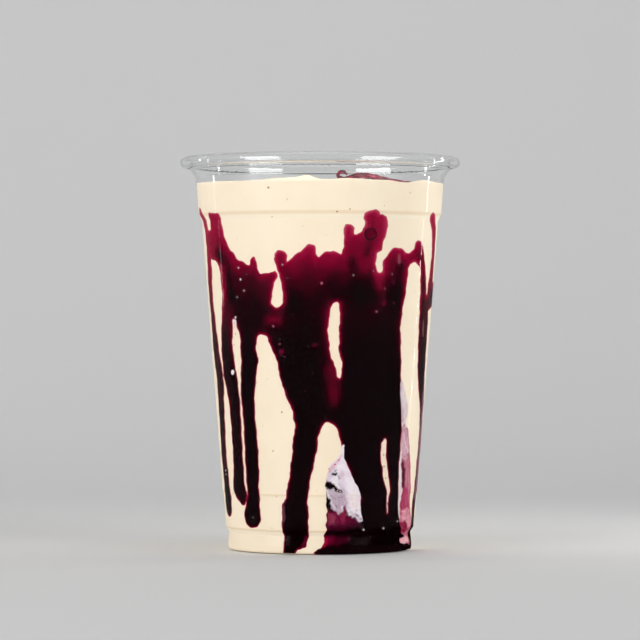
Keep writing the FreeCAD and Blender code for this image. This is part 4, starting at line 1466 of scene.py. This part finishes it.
@dataclass
class Flecks:
    """Small flattened bits of one kind that sit at the wall."""

    name: str
    slot: Slot
    finish: Speckled
    marks: tuple[Mark, ...]
    lift: float = 0.36
    flat: float = 0.12
    crease: float = 80.0
    section: CupSection = field(default_factory=CupSection)

    def build(self) -> bpy.types.Object:
        """Set a small uneven bit at each (azimuth, height, radius) mark."""
        bm = bmesh.new()
        for index, (azimuth, height, size) in enumerate(self.marks):
            radius = float(self.section.radius(height)) + self.lift - self.flat
            turn = math.radians(azimuth)
            matrix = (
                Matrix.Translation(around(azimuth, radius, height))
                @ Matrix.Rotation(turn, 4, "Z")
                @ Matrix.Rotation(1.7 * index, 4, "Y")
                @ Matrix.Diagonal((size * (1.0 + 0.25 * math.sin(index)), self.flat, size, 1.0))
            )
            bmesh.ops.create_icosphere(bm, subdivisions=2, radius=1.0, matrix=matrix)
        piece = finish_mesh(bm, self.name, self.crease)
        self.finish.dress(piece)
        return piece


def scattered(count: int, seed: int, size: Place, heights: Place) -> tuple[Mark, ...]:
    """Return marks strewn over the back and sides of the wall.

    Args:
        count: how many marks.
        seed: fixes the places.
        size: smallest and largest radius.
        heights: lowest and highest place.
    """
    rng = np.random.default_rng(seed)
    azimuths = rng.uniform(*BACK, count)
    places = rng.uniform(*heights, count)
    sizes = rng.uniform(*size, count) * rng.uniform(0.6, 1.0, count)
    return tuple(zip(azimuths.tolist(), places.tolist(), sizes.tolist()))


def all_flecks() -> list[Flecks]:
    """Return every kind of fleck that shows at the wall."""
    return [
        Flecks(
            "vanilla_flecks", Slot.CREAM,
            Speckled("vanilla_flecks", (0.42, 0.23, 0.09), (0.55, 0.35, 0.17)),
            (
                (-24.0, 125.0, 0.42), (13.8, 117.7, 0.26), (-23.0, 115.2, 0.2), (-21.0, 48.8, 0.3),
                (-27.0, 35.5, 0.32), (-29.0, 60.0, 0.16), (-33.0, 44.0, 0.15), (46.0, 123.6, 0.2),
                (-15.0, 121.0, 0.16), (31.0, 119.0, 0.15), (3.0, 109.0, 0.14), (-8.0, 112.0, 0.15),
                (-44.0, 108.0, 0.16), (56.0, 90.0, 0.15), (55.0, 72.0, 0.14), (-26.0, 20.0, 0.2),
                (-30.0, 9.0, 0.16), (-2.0, 22.0, 0.14),
            ) + scattered(60, 5, (0.13, 0.3), (6.0, 124.0)),
            lift=0.26,
        ),
        Flecks(
            "berry_crumbs", Slot.BERRY,
            Speckled("berry_crumbs", (0.52, 0.10, 0.18), (0.35, 0.04, 0.09)),
            (
                (7.8, 116.8, 0.28), (0.8, 92.6, 0.42), (29.6, 83.0, 0.36), (-16.0, 94.3, 0.2),
                (-21.0, 72.0, 0.28), (-18.6, 67.6, 0.2), (3.0, 46.8, 0.15), (-38.8, 95.7, 0.2),
                (-24.3, 78.0, 0.3), (40.0, 86.0, 0.24), (34.0, 90.8, 0.3), (-8.0, 56.0, 0.2),
                (5.0, 29.5, 0.25), (8.5, 31.0, 0.28), (10.5, 32.5, 0.25), (-2.0, 39.0, 0.13),
            ),
        ),
        Flecks(
            "cream_dots", Slot.CREAM,
            Speckled("cream_dots", (0.80, 0.70, 0.70), (0.90, 0.83, 0.78)),
            (
                # the dots round azimuth -49 and heights 78 to 81 are a painted highlight on the sauce above
                # the slit; the rest are cream
                (-44.0, 98.0, 0.26), (-43.0, 94.0, 0.32), (-41.0, 90.2, 0.22), (-49.0, 79.5, 0.9),
                (-48.2, 81.0, 0.5), (-49.8, 78.0, 0.45), (-53.4, 62.2, 1.0),
                (-46.0, 88.0, 0.18), (-18.5, 98.9, 0.18), (16.5, 95.3, 0.18), (27.0, 96.8, 0.16),
                (38.0, 95.8, 0.18), (41.2, 8.7, 0.34), (-46.6, 104.0, 0.14), (-43.6, 12.4, 0.16),
                (-70.0, 28.0, 0.3), (-70.2, 26.6, 0.26), (-47.4, 64.0, 0.3), (-47.8, 52.0, 0.3),
                (9.1, 23.9, 0.33), (8.0, 22.5, 0.2), (8.5, 24.3, 0.18), (9.9, 22.0, 0.2),
                (11.5, 21.8, 0.22), (7.6, 23.0, 0.14), (26.8, 8.5, 0.32), (53.4, 10.8, 0.26),
            ),
        ),
        Flecks(
            "berry_seeds", Slot.BERRY,
            Speckled("berry_seeds", (0.02, 0.002, 0.006), (0.05, 0.006, 0.012)),
            (
                (-55.3, 95.3, 0.2), (-21.0, 73.6, 0.3), (-14.0, 82.0, 0.18), (-6.0, 71.0, 0.2),
                (-4.0, 62.0, 0.22), (-3.0, 45.6, 0.2), (14.0, 70.0, 0.2), (26.5, 108.6, 0.22),
                (24.5, 111.8, 0.2), (10.9, 19.8, 0.17), (12.6, 19.8, 0.17), (9.1, 19.1, 0.15),
                (9.6, 16.6, 0.2), (38.2, 34.0, 0.2), (38.9, 30.0, 0.22), (40.4, 26.0, 0.2),
                (41.0, 23.0, 0.18), (24.8, 12.2, 0.24), (26.2, 9.4, 0.2), (-49.0, 75.4, 0.2),
                (-51.4, 74.2, 0.18), (-50.6, 71.8, 0.14),
            ),
            lift=0.37,
        ),
    ]


# --------------------------------------------------------------------------- studio


@dataclass(frozen=True)
class Lamp:
    """A rectangular soft lamp that faces the cup."""

    name: str
    place: Colour
    size: Place
    power: float

    def build(self, aim: Vector) -> None:
        """Hang the lamp and turn it to the aim."""
        light = bpy.data.lights.new(self.name, "AREA")
        light.shape = "RECTANGLE"
        light.size, light.size_y = self.size
        light.energy = self.power
        lamp = bpy.data.objects.new(self.name, light)
        lamp.location = self.place
        lamp.rotation_euler = (aim - Vector(self.place)).to_track_quat("-Z", "Y").to_euler()
        bpy.context.scene.collection.objects.link(lamp)


@dataclass
class Studio:
    """A pale sweep, soft lamps and the camera."""

    floor_colour: Colour = (0.90, 0.90, 0.90)
    floor_shade: Colour = (0.86, 0.86, 0.86)
    surround: float = 0.25
    aim: Colour = (0.0, 0.0, 0.07)
    camera_place: Colour = (0.0, -1.170, 0.08015)
    lens: float = 187.8
    sweep_start: float = 0.35
    sweep_bend: float = 0.8
    sweep_reach: float = 3.0
    sweep_width: float = 8.0
    lamps: tuple[Lamp, ...] = (
        Lamp("key", (-1.00, -0.82, 0.24), (0.8, 0.44), 8.6),
        Lamp("fill", (1.04, -0.82, 0.24), (0.8, 0.44), 7.2),
        Lamp("overhead", (0.0, 0.05, 1.15), (0.8, 0.8), 2.0),
        Lamp("strip_right", (0.252, 0.105, 0.11), (0.006, 0.2), 0.13),
        Lamp("strip_left", (-0.82, 0.37, 0.16), (0.03, 0.9), 0.6),
    )

    def sweep(self) -> None:
        """Make the floor that curves up into the backdrop."""
        bm = bmesh.new()
        bend = self.sweep_bend
        run = [(-self.sweep_reach, 0.0), (self.sweep_start, 0.0)]
        run += [
            (self.sweep_start + bend * math.sin(turn), bend - bend * math.cos(turn))
            for turn in np.linspace(0.1, math.pi / 2, 16)
        ]
        run.append((self.sweep_start + bend, self.sweep_reach))
        verts = [bm.verts.new((-self.sweep_width / 2, y, z)) for y, z in run]
        edges = [bm.edges.new(pair) for pair in zip(verts, verts[1:])]
        made = bmesh.ops.extrude_edge_only(bm, edges=edges)["geom"]
        across = [part for part in made if isinstance(part, bmesh.types.BMVert)]
        bmesh.ops.translate(bm, verts=across, vec=(self.sweep_width, 0.0, 0.0))
        bm.normal_update()
        if sum(face.normal.z for face in bm.faces) < 0.0:
            bmesh.ops.reverse_faces(bm, faces=bm.faces[:])
        mesh = bpy.data.meshes.new("sweep")
        bm.to_mesh(mesh)
        bm.free()
        mesh.shade_smooth()
        floor = bpy.data.objects.new("sweep", mesh)
        bpy.context.scene.collection.objects.link(floor)
        kit = Kit("sweep")
        tone = kit.mix(kit.noise(9.0, 2.0) * 0.05, self.floor_colour, self.floor_shade)
        matte = kit.surface({"Base Color": tone, "Roughness": 0.85, "Specular IOR Level": 0.1})
        behind = kit.add("ShaderNodeNewGeometry", {}, {}, "Backfacing")
        clear = kit.add("ShaderNodeBsdfTransparent", {}, {})
        kit.wear(kit.add("ShaderNodeMixShader", {}, {0: behind, 1: matte, 2: clear}), floor)

    def world(self) -> None:
        """Set an even pale surround."""
        world = bpy.data.worlds.new("surround")
        world.use_nodes = True
        shade = world.node_tree.nodes["Background"]
        shade.inputs["Color"].default_value = (*WHITE, 1.0)
        shade.inputs["Strength"].default_value = self.surround
        bpy.context.scene.world = world

    def camera(self) -> None:
        """Place a level camera in front of the cup."""
        lens = bpy.data.cameras.new("camera")
        lens.sensor_width = 36.0
        lens.lens = self.lens
        lens.clip_start = 0.05
        camera = bpy.data.objects.new("camera", lens)
        camera.location = self.camera_place
        camera.rotation_euler = (math.pi / 2, 0.0, 0.0)
        bpy.context.scene.collection.objects.link(camera)
        bpy.context.scene.camera = camera

    def build(self) -> None:
        """Set up the floor, light and camera."""
        self.sweep()
        self.world()
        for lamp in self.lamps:
            lamp.build(Vector(self.aim))
        self.camera()
        bpy.context.scene.view_settings.view_transform = "Standard"


def main() -> None:
    """Build every piece in order."""
    logging.basicConfig(level=logging.INFO, format="%(message)s")
    Cup().build()
    Drink().build()
    SauceCurtain().build()
    SauceBubble().build()
    FloorPool().build()
    TopDrizzle().build()
    froth_lump().build()
    rose_smear().build()
    for flecks in all_flecks():
        flecks.build()
    Studio().build()


if __name__ == "__main__":
    main()
